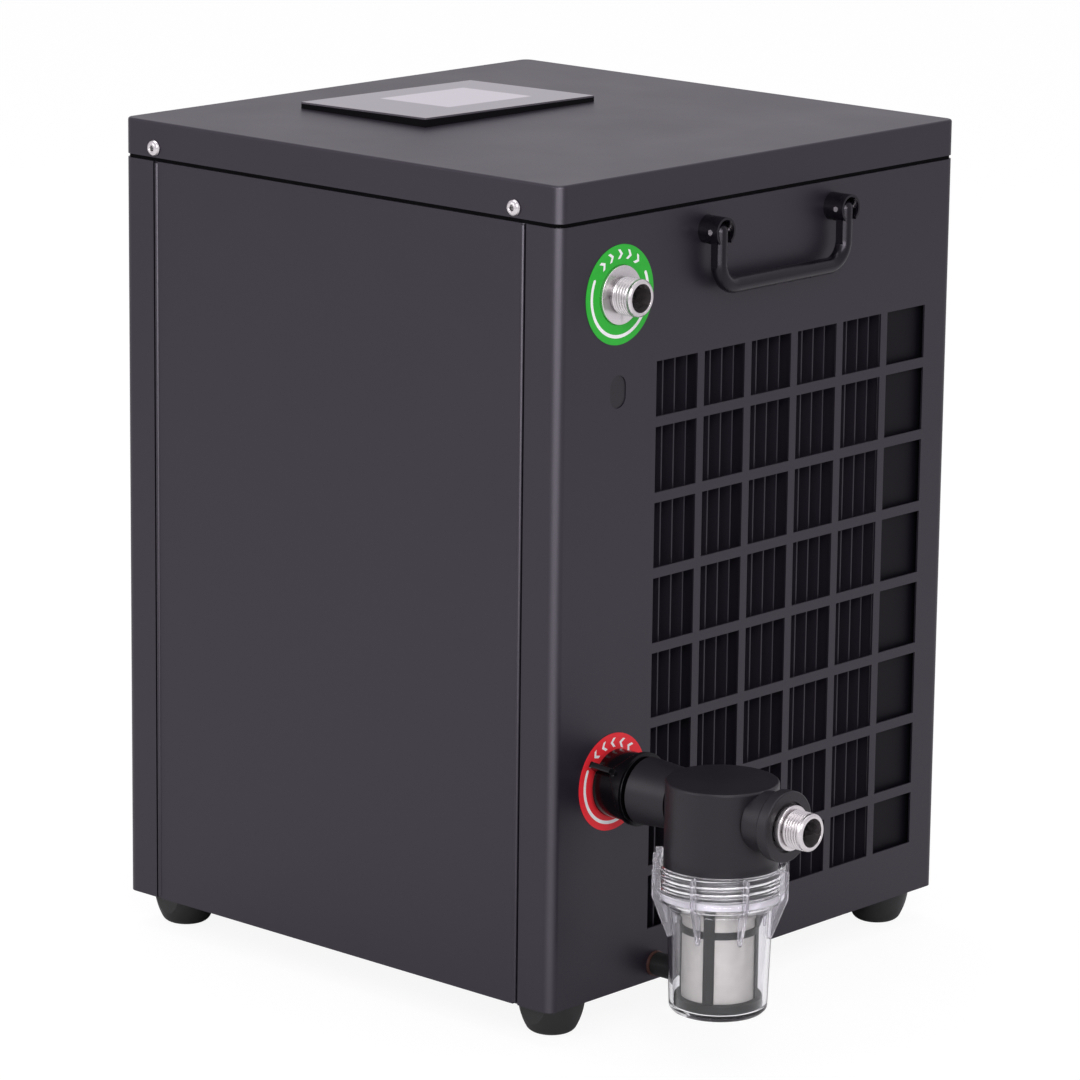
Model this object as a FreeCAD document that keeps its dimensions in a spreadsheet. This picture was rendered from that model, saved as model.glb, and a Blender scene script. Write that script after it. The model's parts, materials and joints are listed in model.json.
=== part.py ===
"""Ice bath chiller: a folded sheet cabinet with a barred grille, water ports and a clear-bowl filter.

Millimetres, +Z up, the feet standing on z = 0. The grille and the ports are on the -Y face.
The cabinet frame has its origin at the middle of the cabinet, level with the panels' lower edges.
"""
import FreeCAD
import Part

import math
import os

import Sketcher

document = FreeCAD.newDocument("ice_bath_chiller")
sheet = document.addObject("Spreadsheet::Sheet", "Sizes")
parts = {}

UP = FreeCAD.Vector(0, 0, 1)
UPRIGHT = FreeCAD.Rotation()
# Turned pieces are drawn about their own Z, which these turn towards the grille side or the far side
TOWARDS_FRONT = FreeCAD.Rotation(FreeCAD.Vector(1, 0, 0), 90)
TOWARDS_BACK = FreeCAD.Rotation(FreeCAD.Vector(0, 0, 1), 180).multiply(TOWARDS_FRONT)


# Sizes that remember the sheet formula they come from

class Size:
    """A number with the sheet formula that gives it."""

    def __init__(self, formula, value):
        self.formula = formula
        self.value = value

    def __add__(self, other):
        return combined(self, "+", other)

    def __radd__(self, other):
        return combined(other, "+", self)

    def __sub__(self, other):
        return combined(self, "-", other)

    def __rsub__(self, other):
        return combined(other, "-", self)

    def __mul__(self, other):
        return combined(self, "*", other)

    def __rmul__(self, other):
        return combined(other, "*", self)

    def __truediv__(self, other):
        return combined(self, "/", other)

    def __neg__(self):
        return combined(0, "-", self)


def number(value):
    """The plain number of a Size or of a number."""
    return value.value if isinstance(value, Size) else float(value)


def formula_of(value):
    """The sheet formula of a Size or of a number."""
    return value.formula if isinstance(value, Size) else repr(float(value))


def combined(left, sign, right):
    """A Size worked out from two others."""
    first, second = number(left), number(right)
    results = {"+": first + second, "-": first - second, "*": first * second}
    value = first / second if sign == "/" else results[sign]
    return Size("(%s %s %s)" % (formula_of(left), sign, formula_of(right)), value)


def size(name, value):
    """A driving dimension: one named cell of the sheet."""
    cell = "A%d" % (len(sheet.getUsedCells()) + 1)
    sheet.set(cell, str(value))
    sheet.setAlias(cell, name)
    return Size("Sizes." + name, float(value))


def bind(piece, name, value):
    """Set a property, from the sheet where the value comes from it."""
    if isinstance(value, Size):
        piece.setExpression(name, value.formula)
    else:
        setattr(piece, name, value)


# Sketches

def sketch_on(body, role, offset=0):
    """An empty sketch on one of the body's own planes, moved along the plane's normal."""
    sketch = body.newObject("Sketcher::SketchObject", "Sketch")
    plane = next(item for item in body.Origin.OriginFeatures if item.Role == role)
    sketch.AttachmentSupport = [(plane, "")]
    sketch.MapMode = "FlatFace"
    sketch.setExpression("AttachmentOffset.Base.z", formula_of(offset))
    return sketch


def fix_point(sketch, edge, end, x, y):
    """Hold one end of an edge at x, y."""
    for kind, value, axis in (("DistanceX", x, -2), ("DistanceY", y, -1)):
        if not isinstance(value, Size) and abs(value) < 1e-9:
            sketch.addConstraint(Sketcher.Constraint("PointOnObject", edge, end, axis))
            continue
        index = sketch.addConstraint(Sketcher.Constraint(kind, -1, 1, edge, end, number(value)))
        sketch.setExpression("Constraints[%d]" % index, formula_of(value))


def fix_radius(sketch, edge, radius):
    """Hold the radius of an arc or a circle."""
    index = sketch.addConstraint(Sketcher.Constraint("Radius", edge, number(radius)))
    sketch.setExpression("Constraints[%d]" % index, formula_of(radius))


def arc_between(sketch, start, end, radius, outward):
    """An arc from start to end: it bulges to the right of the way it is drawn where outward."""
    middle = (start + end) * 0.5
    chord = end - start
    height = math.sqrt(max(radius * radius - chord.Length ** 2 / 4, 0))
    left = FreeCAD.Vector(-chord.y, chord.x, 0).normalize()
    centre = middle + left * height if outward else middle - left * height
    first, last = (start, end) if outward else (end, start)
    angles = [math.atan2(point.y - centre.y, point.x - centre.x) for point in (first, last)]
    circle = Part.Circle(centre, UP, radius)
    return sketch.addGeometry(Part.ArcOfCircle(circle, angles[0], angles[1]), False)


def outline(sketch, path, closed=True):
    """Draw a path of (x, y) corners; (x, y, radius) is reached by an arc, which bulges to the
    right of the way for a positive radius and to the left for a negative one."""
    corners = [FreeCAD.Vector(number(item[0]), number(item[1]), 0) for item in path]
    edges = []
    for index in range(0 if closed else 1, len(path)):
        start, end = corners[index - 1], corners[index]
        if len(path[index]) == 2:
            edge = sketch.addGeometry(Part.LineSegment(start, end), False)
            edges.append((edge, 1, 2, path[index]))
            continue
        radius = path[index][2]
        outward = number(radius) > 0
        edge = arc_between(sketch, start, end, abs(number(radius)), outward)
        fix_radius(sketch, edge, radius if outward else -radius)
        edges.append((edge, 1, 2, path[index]) if outward else (edge, 2, 1, path[index]))
    for index, (edge, first, last, corner) in enumerate(edges):
        fix_point(sketch, edge, last, corner[0], corner[1])
        if index + 1 < len(edges) or closed:
            following = edges[(index + 1) % len(edges)]
            sketch.addConstraint(
                Sketcher.Constraint("Coincident", edge, last, following[0], following[1])
            )
    if not closed:
        fix_point(sketch, edges[0][0], edges[0][1], path[0][0], path[0][1])


def rectangle(sketch, left, bottom, right, top):
    """Draw a rectangle."""
    outline(sketch, [(left, bottom), (right, bottom), (right, top), (left, top)])


def disc(sketch, x, y, radius):
    """Draw a circle."""
    centre = FreeCAD.Vector(number(x), number(y), 0)
    edge = sketch.addGeometry(Part.Circle(centre, UP, number(radius)), False)
    fix_point(sketch, edge, 3, x, y)
    fix_radius(sketch, edge, radius)


def slot(sketch, x, y, half_width, half_height):
    """Draw an upright slot with round ends."""
    reach = half_height - half_width
    ends = []
    for way in (-1, 1):
        level = y + reach * way
        circle = Part.Circle(FreeCAD.Vector(number(x), number(level), 0), UP, number(half_width))
        start = math.pi if way < 0 else 0
        ends.append(sketch.addGeometry(Part.ArcOfCircle(circle, start, start + math.pi), False))
        fix_point(sketch, ends[-1], 3, x, level)
        fix_radius(sketch, ends[-1], half_width)
    for way, first, second in ((1, ends[0], ends[1]), (-1, ends[1], ends[0])):
        across = number(x + half_width * way)
        low, high = number(y) - number(reach) * way, number(y) + number(reach) * way
        line = Part.LineSegment(FreeCAD.Vector(across, low, 0), FreeCAD.Vector(across, high, 0))
        edge = sketch.addGeometry(line, False)
        sketch.addConstraint(Sketcher.Constraint("Tangent", first, 2, edge, 1))
        sketch.addConstraint(Sketcher.Constraint("Tangent", edge, 2, second, 1))


def hexagon(sketch, across):
    """Draw a hexagon by its width across flats, with a flat at the top and the bottom."""
    corner = across / math.sqrt(3)
    outline(sketch, [
        (corner, 0),
        (corner / 2, across / 2),
        (-corner / 2, across / 2),
        (-corner, 0),
        (-corner / 2, -across / 2),
        (corner / 2, -across / 2),
    ])


def rectangle_at_angle(sketch, radius, angle, depth, width):
    """Draw a small rectangle centred at a radius and an angle, facing the centre."""
    cosine, sine = math.cos(math.radians(angle)), math.sin(math.radians(angle))
    corners = ((-0.5, -0.5), (0.5, -0.5), (0.5, 0.5), (-0.5, 0.5))
    outline(sketch, [
        (
            (radius + depth * along) * cosine - width * across * sine,
            (radius + depth * along) * sine + width * across * cosine,
        )
        for along, across in corners
    ])


# Features

def new_body(label):
    """An empty body that becomes the sub-part of this label."""
    body = document.addObject("PartDesign::Body", label)
    body.Label = label
    parts[label] = body
    return body


def pad(body, sketch, length, reverse=False):
    """Raise a sketch into the body."""
    feature = body.newObject("PartDesign::Pad", "Pad")
    feature.Profile = sketch
    feature.Reversed = reverse
    bind(feature, "Length", length)
    document.recompute()
    return feature


def pocket(body, sketch, depth, reverse=False):
    """Cut a sketch out of the body; the cut has to take something away."""
    before = body.Shape.Volume
    feature = body.newObject("PartDesign::Pocket", "Pocket")
    feature.Profile = sketch
    feature.Reversed = reverse
    bind(feature, "Length", depth)
    document.recompute()
    if body.Shape.Volume >= before:
        raise ValueError("the pocket in %s cuts nothing" % body.Label)
    return feature


def turned(body, sketch):
    """Turn a sketch about its upright axis."""
    feature = body.newObject("PartDesign::Revolution", "Revolution")
    feature.Profile = sketch
    feature.ReferenceAxis = (sketch, ["V_Axis"])
    feature.Angle = 360
    document.recompute()
    return feature


def edges_where(feature, test):
    """Names of the edges whose middle point passes the test."""
    edges = feature.Shape.Edges
    return ["Edge%d" % (index + 1) for index, edge in enumerate(edges) if test(edge)]


def faces_where(feature, test):
    """Names of the faces that pass the test."""
    faces = feature.Shape.Faces
    return ["Face%d" % (index + 1) for index, face in enumerate(faces) if test(face)]


def fillet(body, feature, test, radius):
    """Round the edges of a feature that pass the test."""
    rounding = body.newObject("PartDesign::Fillet", "Fillet")
    rounding.Base = (feature, edges_where(feature, test))
    bind(rounding, "Radius", radius)
    document.recompute()
    return rounding


def folded_sheet(body, feature, open_sides, gauge):
    """Turn a block into sheet of the gauge, without its faces that point to the open sides."""
    shell = body.newObject("PartDesign::Thickness", "Thickness")
    shell.Base = (feature, faces_where(feature, lambda face: points_to(face, open_sides)))
    shell.Reversed = True
    bind(shell, "Value", gauge)
    document.recompute()
    return shell


def points_to(face, directions):
    """Whether a face is flat and looks along one of the directions."""
    if face.Surface.TypeId != "Part::GeomPlane":
        return False
    normal = face.normalAt(0, 0)
    return any(normal.dot(direction) > 0.99 for direction in directions)


def is_upright(edge):
    """Whether an edge is a straight line along Z."""
    box = edge.BoundBox
    return box.XLength < 1e-6 and box.YLength < 1e-6 and box.ZLength > 1e-6


def repeated(body, feature, sketch, axis, length, count):
    """Repeat a feature along an axis of its sketch."""
    pattern = body.newObject("PartDesign::LinearPattern", "LinearPattern")
    pattern.Originals = [feature]
    pattern.Direction = (sketch, [axis])
    bind(pattern, "Length", length)
    pattern.Occurrences = count
    body.Tip = pattern
    document.recompute()
    return pattern


def ring_pattern(body, feature, count):
    """Repeat a feature round the body's Z axis."""
    pattern = body.newObject("PartDesign::PolarPattern", "PolarPattern")
    pattern.Originals = [feature]
    axis = next(item for item in body.Origin.OriginFeatures if item.Role == "Z_Axis")
    pattern.Axis = (axis, [""])
    pattern.Angle = 360
    pattern.Occurrences = count
    body.Tip = pattern
    document.recompute()
    return pattern


def place(piece, x, y, z, turn=UPRIGHT):
    """Put a piece at a point of the part's frame."""
    piece.Placement = FreeCAD.Placement(FreeCAD.Vector(), turn)
    for name, value in (("x", x), ("y", y), ("z", z)):
        piece.setExpression("Placement.Base." + name, formula_of(value))


def in_cabinet(piece, x=0, y=0, z=0, turn=UPRIGHT):
    """Put a piece at a point of the cabinet frame."""
    place(piece, x, cab_y + y, foot_height + z, turn)


def turned_body(label, profile):
    """A body turned about its own Z from a profile of (radius, height) corners."""
    body = new_body(label)
    sketch = sketch_on(body, "XZ_Plane")
    outline(sketch, profile)
    turned(body, sketch)
    return body


def cylinder(name, radius, length):
    """A plain cylinder about its own Z."""
    piece = document.addObject("Part::Cylinder", name)
    bind(piece, "Radius", radius)
    bind(piece, "Height", length)
    return piece


def block(name, length, width, height):
    """A plain block with one corner at its own origin."""
    piece = document.addObject("Part::Box", name)
    bind(piece, "Length", length)
    bind(piece, "Width", width)
    bind(piece, "Height", height)
    return piece


def less(label, base, tool):
    """One piece cut by another."""
    result = document.addObject("Part::Cut", label)
    result.Base = base
    result.Tool = tool
    result.Refine = True
    result.Label = label
    return result


def group(label, pieces):
    """Identical pieces that share one sub-part as separate solids."""
    result = document.addObject("Part::Compound", label)
    result.Links = pieces
    result.Label = label
    parts[label] = result
    return result


def kept(piece):
    """Keep a plain piece or boolean as a sub-part of its label."""
    parts[piece.Label] = piece
    return piece


def route(points, bend):
    """A wire of straight runs joined by tangent arcs."""
    corners = [FreeCAD.Vector(*[number(value) for value in point]) for point in points]
    edges = []
    start = corners[0]
    for before, corner, after in zip(corners, corners[1:], corners[2:]):
        inward = (corner - before).normalize()
        onward = (after - corner).normalize()
        half = inward.getAngle(onward) / 2
        reach = number(bend) * math.tan(half)
        first, last = corner - inward * reach, corner + onward * reach
        middle = corner + (onward - inward).normalize() * number(bend) * (1 / math.cos(half) - 1)
        edges.append(Part.LineSegment(start, first).toShape())
        edges.append(Part.Arc(first, middle, last).toShape())
        start = last
    edges.append(Part.LineSegment(start, corners[-1]).toShape())
    return Part.Wire(edges)


def pipe_along(label, points, radius, bend, bore=None):
    """A pipe or a hose along a bent route in space."""
    wire = route(points, bend)

    def swept(reach):
        circle = Part.Circle(wire.Edges[0].valueAt(0), wire.Edges[0].tangentAt(0), number(reach))
        return wire.makePipeShell([Part.Wire([circle.toShape()])], True, False)

    shape = swept(radius)
    if bore is not None:
        shape = shape.cut(swept(bore))
    piece = document.addObject("Part::Feature", label)
    piece.Label = label
    piece.Shape = shape
    in_cabinet(piece)
    parts[label] = piece
    return piece


# Driving dimensions of the cabinet

cab_width = size("cab_width", 340)
cab_depth = size("cab_depth", 334)
cab_height = size("cab_height", 458.6)
foot_height = size("foot_height", 20)
gauge = size("sheet_gauge", 1.2)
corner_bend = size("corner_bend", 6)
fit = size("panel_fit", 0.3)
lid_skirt = size("lid_skirt", 20.6)
lid_gap = size("lid_gap", 2.2)
lid_edge = size("lid_edge_bend", 1.4)
panel_return = size("panel_return", 24)
seam_gap = size("seam_gap", 1.5)
seam_bend = size("seam_bend", 2)
seam_fold = size("seam_fold", 12)
pan_lip = size("pan_lip", 12)
frame_gauge = size("frame_gauge", 1.5)
frame_ledge = size("frame_ledge", 14)
frame_drop = size("frame_drop", 12)
running_gap = size("running_gap", 0.35)

# Driving dimensions of the grille

port_strip = size("port_strip_width", 80.4)
grille_margin = size("grille_side_margin", 24.2)
grille_bottom = size("grille_bottom", 31)
cell_height = size("cell_height", 36.7)
end_cell_height = size("end_cell_height", 30.8)
grille_bar = size("grille_bar", 5.8)
vane_lead = size("vane_lead_length", 2.2)
vane_offset = size("first_vane_offset", 0.6)
vane_gauge = size("vane_gauge", 1)
vane_depth = size("vane_depth", 14)
vane_setback = size("vane_setback", 2.8)
vane_margin = size("vane_margin", 9)
grille_columns = 6
grille_rows = 8
vane_count = 20

# Driving dimensions of the ports and the filter

port_side = size("port_from_side", 48.8)
outlet_z = size("outlet_level", 394.4)
inlet_z = size("inlet_level", 122.8)
knockout_z = size("knockout_level", 341)
knockout_half_width = size("knockout_half_width", 6.4)
knockout_half_height = size("knockout_half_height", 9.1)
label_radius = size("label_radius", 27.4)
label_gauge = size("label_gauge", 0.3)
thread_radius = size("thread_radius", 10.48)
port_bore = size("port_bore", 7.8)
port_flange = size("port_flange_radius", 16.2)
port_flange_gauge = size("port_flange_gauge", 2)
nipple_reach = size("nipple_reach", 16)
port_tail = size("port_tail", 38)
tail_radius = size("tail_radius", 9.4)
locknut_across = size("locknut_across", 30)
locknut_height = size("locknut_height", 6)
drain_side = size("drain_from_side", 87.5)
drain_z = size("drain_level", 9.5)
drain_radius = size("drain_radius", 4.4)
drain_bore = size("drain_bore", 2.8)
drain_reach = size("drain_reach", 12)
drain_tail = size("drain_tail", 14)
drain_cap_radius = size("drain_cap_radius", 6.7)
drain_cap_reach = size("drain_cap_reach", 19)
drain_seal_radius = size("drain_seal_radius", 7.2)
drain_seal_gauge = size("drain_seal_gauge", 1.6)
washer_gauge = size("washer_gauge", 2)
nut_radius = size("nut_radius", 19.8)
nut_back = size("nut_back", 5.9)
nut_length = size("nut_length", 17.4)
wing_radius = size("wing_radius", 27)
wing_gauge = size("wing_gauge", 4.2)
wing_bend = size("wing_tip_bend", 1.9)
nut_round = size("nut_edge_bend", 1.18)
wing_angle = 146
neck_radius = size("neck_radius", 13.9)
neck_flange_radius = size("neck_flange_radius", 15.2)
neck_flange_gauge = size("neck_flange_gauge", 3)
branch_radius = size("inlet_branch_radius", 18.8)
branch_end_radius = size("inlet_branch_end_radius", 17)
branch_gap = size("branch_gap", 2.4)
head_reach = size("head_reach", 79)
head_radius = size("head_radius", 31)
head_rise = size("head_rise", 17)
head_drop = size("head_drop", 42.8)
head_wall = size("head_wall", 3.4)
head_edge = size("head_edge_bend", 1.4)
spigot_radius = size("outlet_branch_radius", 16.8)
collar_radius = size("outlet_collar_radius", 19.6)
collar_gauge = size("outlet_collar_gauge", 7)
collar_reach = size("outlet_collar_reach", 125.7)
collar_recess = size("collar_recess", 1.5)
collar_bend = size("collar_edge_bend", 0.9)
filter_reach = size("filter_reach", 142)
shoulder_radius = size("shoulder_radius", 12.5)
shoulder_length = size("shoulder_length", 4.9)
bowl_rim = size("bowl_rim", 28.6)
bowl_drop = size("bowl_drop", 112)
bowl_collar = size("bowl_collar_radius", 35.4)
bowl_top_radius = size("bowl_top_radius", 28.8)
bowl_foot_radius = size("bowl_foot_radius", 26.8)
bowl_wall = size("bowl_wall", 2)
bowl_floor = size("bowl_floor", 3)
bowl_shoulder = size("bowl_shoulder", 47.8)
rib_radius = size("rib_radius", 38.5)
rib_gauge = size("rib_gauge", 2.4)
rib_drop = size("rib_drop", 21)
rib_count = 8
tab_gauge = size("tab_gauge", 1.8)
tab_width = size("tab_width", 6.2)
tab_height = size("tab_height", 10)
bowl_turn = 17
tab_turn = 135
seal_width = size("seal_width", 4)
mesh_radius = size("mesh_radius", 20.3)
mesh_gauge = size("mesh_gauge", 0.6)
strainer_rib = size("strainer_rib", 5.9)
strainer_ring = size("strainer_ring", 3.9)
strainer_base = size("strainer_base_height", 5.4)
strainer_middle = size("strainer_middle_level", -66.6)
strainer_turn = 25

# Driving dimensions of the handles

handle_x = size("handle_from_middle", 4.6)
handle_z = size("handle_level", 421.4)
handle_span = size("handle_span", 108)
boss_radius = size("boss_radius", 7.9)
boss_wall = size("boss_wall", 1.3)
boss_length = size("boss_length", 13.6)
boss_floor = size("boss_floor", 2)
rod_radius = size("rod_radius", 4.6)
rod_bend = size("rod_bend", 13.5)
bail_drop = size("bail_drop", 31.4)
pin_radius = size("pin_radius", 1.5)
pin_proud = size("pin_proud", 0.3)
arm_flat = size("arm_flat", 0.6)
arm_flat_length = size("arm_flat_length", 20)
slot_clearance = size("slot_clearance", 0.4)

# Driving dimensions of the feet, screws and display

foot_side = size("foot_from_side", 26)
foot_end = size("foot_from_face", 22)
foot_radius = size("foot_radius", 18.8)
foot_sole = size("foot_sole_radius", 9)
foot_heel = size("foot_heel_height", 2.8)
foot_heel_radius = size("foot_heel_radius", 13.9)
foot_heel_bend = size("foot_heel_bend", 6.4)
foot_flank_bend = size("foot_flank_bend", 40)
foot_flat = size("foot_flat", 16)
foot_recess = size("foot_recess", 8)
screw_radius = size("screw_radius", 2.4)
screw_head = size("screw_head_radius", 4.7)
screw_head_height = size("screw_head_height", 2.6)
screw_head_rim = size("screw_head_rim", 0.9)
screw_length = size("screw_length", 10)
lid_screw_back = size("lid_screw_distance_back", 25)
lid_screw_front = size("lid_screw_distance_front", 32.8)
lid_screw_rise = size("lid_screw_rise", 5.4)
display_width = size("display_width", 143)
display_depth = size("display_depth", 98.5)
display_x = size("display_from_middle", 3.5)
display_y = size("display_towards_back", 69.8)
display_left_front = size("display_height_left_front", 5.4)
display_right_front = size("display_height_right_front", 3.6)
display_left_back = size("display_height_left_back", 3.8)
glass_gauge = size("glass_gauge", 1)
neck_width = size("display_neck_width", 118)
neck_depth = size("display_neck_depth", 78)
neck_height = size("display_neck_height", 16)

# Driving dimensions of the cold side and the hot side

coil_port_side = size("condenser_from_port_side", 81)
coil_far_side = size("condenser_from_far_side", 57)
coil_height = size("condenser_height", 326)
coil_depth = size("condenser_depth", 40)
coil_bottom = size("condenser_bottom", 24)
coil_gap = size("condenser_gap", 0.3)
fin_pitch = size("fin_pitch", 6)
fin_gauge = size("fin_gauge", 0.8)
fin_groove = size("fin_groove", 4)
bend_tube = size("return_bend_tube", 4.75)
bend_pitch = size("return_bend_pitch", 28)
bend_count = 5
fan_margin = size("fan_side_margin", 13)
fan_gap = size("fan_tip_gap", 8)
fan_level = size("fan_level", 188)
hub_radius = size("fan_hub_radius", 30)
hub_height = size("fan_hub_height", 22)
hub_clearance = size("fan_hub_clearance", 6)
blade_gauge = size("fan_blade_gauge", 2.2)
blade_chord = size("fan_blade_chord", 60)
blade_count = 5
blade_root_angle = 40
blade_tip_angle = 22
shaft_radius = size("fan_shaft_radius", 4)
shroud_depth = size("fan_shroud_depth", 28)
mouth_reach = size("fan_mouth_reach", 9.6)
mouth_lip = size("fan_mouth_lip", 4.8)
motor_radius = size("fan_motor_radius", 36)
motor_length = size("fan_motor_length", 48)
pot_radius = size("compressor_radius", 60)
pot_height = size("compressor_height", 165)
pot_bend = size("compressor_edge_bend", 20)
pot_side = size("compressor_from_side", 96)
pot_y = size("compressor_towards_back", 78)
pot_foot = size("compressor_foot", 3)
grommet_radius = size("grommet_radius", 10)
grommet_height = size("grommet_height", 12)
grommet_spread = size("grommet_spread", 56)
barrel_radius = size("evaporator_radius", 52)
barrel_height = size("evaporator_height", 236)
barrel_bend = size("evaporator_edge_bend", 8.6)
barrel_side = size("evaporator_from_side", 82)
barrel_y = size("evaporator_towards_back", 92)
water_pipe = size("water_hose_radius", 12.6)
water_bore = size("water_hose_bore", 9.7)
stub_radius = size("water_stub_radius", 9.4)
stub_height = size("water_stub_height", 22)
pump_y = size("pump_from_middle", 78)
pump_radius = size("pump_volute_radius", 30)
pump_length = size("pump_volute_length", 26)
pump_motor_radius = size("pump_motor_radius", 25)
pump_motor_length = size("pump_motor_length", 62)
pump_foot_plate = size("pump_foot_plate", 4)
pump_foot_reach = size("pump_foot_reach", 39)
hose_bend = size("water_hose_bend", 32)
hose_rise = size("water_hose_rise", 40.8)
hose_run = size("water_hose_run", 92)
hose_overlap = size("water_hose_overlap", 16)
copper_radius = size("copper_radius", 3.2)
copper_bend = size("copper_bend", 14)
copper_clear = size("copper_clear_of_coil", 15)
capillary_radius = size("capillary_radius", 1.2)
crown_from_middle = size("crown_pipe_offset", 12)
crown_forward = size("crown_pipe_forward", 18)
suction_rise = size("suction_pipe_rise", 32)
drier_y = size("drier_from_middle", 60)
drier_z = size("drier_level", 62)
drier_radius = size("drier_radius", 9)
drier_length = size("drier_length", 84)
control_width = size("control_box_width", 96)
control_depth = size("control_box_depth", 64)
control_height = size("control_box_height", 34)

# Driving dimensions of the far side

slot_half_width = size("louvre_half_width", 2.6)
slot_half_height = size("louvre_half_height", 24)
slot_pitch = size("louvre_pitch", 12)
slot_row_pitch = size("louvre_row_pitch", 58)
louvre_left = size("louvre_from_middle", 66)
louvre_bottom = size("louvre_bottom", 150)
louvre_columns = 12
louvre_rows = 3
socket_side = size("socket_from_side", 44)
socket_z = size("socket_level", 56)
socket_width = size("socket_width", 48)
socket_height = size("socket_height", 26)
socket_plate = size("socket_plate", 3)
socket_body_width = size("socket_body_width", 28)
socket_body_height = size("socket_body_height", 20)
socket_body_depth = size("socket_body_depth", 22)
rocker_z = size("rocker_level", 98)
rocker_width = size("rocker_width", 21)
rocker_height = size("rocker_height", 15)
rocker_frame = size("rocker_frame", 2)
rocker_depth = size("rocker_depth", 14)
rocker_wall = size("rocker_wall", 1.4)
rocker_gap = size("rocker_gap", 0.6)
rocker_crown = size("rocker_crown", 1.4)
rocker_tilt = 8
socket_wall = size("socket_wall", 2)
socket_recess = size("socket_recess", 17)
pin_long = size("socket_pin_height", 4)
pin_thick = size("socket_pin_width", 2)
pin_spread = size("socket_pin_spread", 7)

document.recompute()

# Places worked out from the driving dimensions

panel_height = cab_height - lid_skirt - lid_gap
pin_reach = boss_length - rod_radius
cab_y = (filter_reach - boss_length) / 2
front = cab_depth / 2
side = cab_width / 2
front_y = -front
foot_x, foot_y = side - foot_side, front - foot_end
port_x = side - port_side
drain_x = side - drain_side
pot_x = side - pot_side
barrel_x = side - barrel_side
socket_x = side - socket_side
lid_screw_places = (front - lid_screw_back, lid_screw_front - front)
nut_front = nut_back + nut_length
washer_end = nipple_reach + washer_gauge
neck_flange_end = washer_end + neck_flange_gauge
branch_start = nut_front + branch_gap
head_y = -(front + head_reach)
coil_back = -front + gauge + vane_setback + vane_depth + coil_gap + coil_depth
grille_width = cab_width - port_strip - grille_margin
grille_left = side - port_strip
cell_width = (grille_width - grille_bar * (grille_columns - 1)) / grille_columns
vane_pitch = ((cell_width + grille_bar) * (grille_columns - 1) - vane_lead) / vane_count
coil_width = cab_width - coil_port_side - coil_far_side
coil_x = (coil_port_side - coil_far_side) / 2
fan_radius = coil_width / 2 - fan_margin
stub_top = gauge + barrel_height + stub_height
hose_level = stub_top + hose_rise
middle_rows = grille_rows - 2
grille_height = cell_height * middle_rows + end_cell_height * 2 + grille_bar * (grille_rows - 1)
BACK = FreeCAD.Vector(0, 1, 0)
LEFT, RIGHT = FreeCAD.Vector(-1, 0, 0), FreeCAD.Vector(1, 0, 0)
DOWN = FreeCAD.Vector(0, 0, -1)


# Cabinet sheet metal

def corner_panel(label):
    """A face panel folded round both its corners, drawn for the grille side."""
    body = new_body(label)
    sketch = sketch_on(body, "XY_Plane")
    rectangle(sketch, -side, -front, side, -front + panel_return)
    solid = pad(body, sketch, panel_height)

    def at_fold(edge):
        return is_upright(edge) and edge.CenterOfMass.y < -front.value + 0.1

    rounded = fillet(body, solid, at_fold, corner_bend)
    folded_sheet(body, rounded, [BACK, UP, DOWN], gauge)
    return body


def port_panel():
    """The grille side: barred grille, two ports, a drain hole and a half-punched slot."""
    body = corner_panel("port_panel")
    cells = sketch_on(body, "XZ_Plane", front)
    level = grille_bottom
    for row in range(grille_rows):
        height = end_cell_height if row in (0, grille_rows - 1) else cell_height
        rectangle(cells, -grille_left, level, cell_width - grille_left, level + height)
        level = level + height + grille_bar
    column = pocket(body, cells, gauge * 2)
    reach = (cell_width + grille_bar) * (grille_columns - 1)
    repeated(body, column, cells, "H_Axis", reach, grille_columns)
    ports = sketch_on(body, "XZ_Plane", front)
    disc(ports, -port_x, outlet_z, thread_radius + fit)
    disc(ports, -port_x, inlet_z, thread_radius + fit)
    disc(ports, -drain_x, drain_z, drain_radius + fit)
    pocket(body, ports, gauge * 2)
    knockout = sketch_on(body, "XZ_Plane", front)
    slot(knockout, -port_x, knockout_z, knockout_half_width, knockout_half_height)
    pocket(body, knockout, gauge / 2)
    in_cabinet(body)


def exhaust_panel():
    """The far side: rows of upright louvre slots and the cut-outs for the mains socket and switch."""
    body = corner_panel("exhaust_panel")
    slots = sketch_on(body, "XZ_Plane", front)
    for row in range(louvre_rows):
        slot(slots, -louvre_left, louvre_bottom + slot_row_pitch * row, slot_half_width, slot_half_height)
    column = pocket(body, slots, gauge * 2)
    repeated(body, column, slots, "H_Axis", slot_pitch * (louvre_columns - 1), louvre_columns)
    cuts = sketch_on(body, "XZ_Plane", front)
    for level, width, height in (
        (socket_z, socket_body_width, socket_body_height),
        (rocker_z, rocker_width, rocker_height),
    ):
        half_width = width / 2 + fit
        half_height = height / 2 + fit
        rectangle(cuts, socket_x - half_width, level - half_height,
                  socket_x + half_width, level + half_height)
    pocket(body, cuts, gauge * 2)
    in_cabinet(body, turn=FreeCAD.Rotation(UP, 180))


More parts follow.
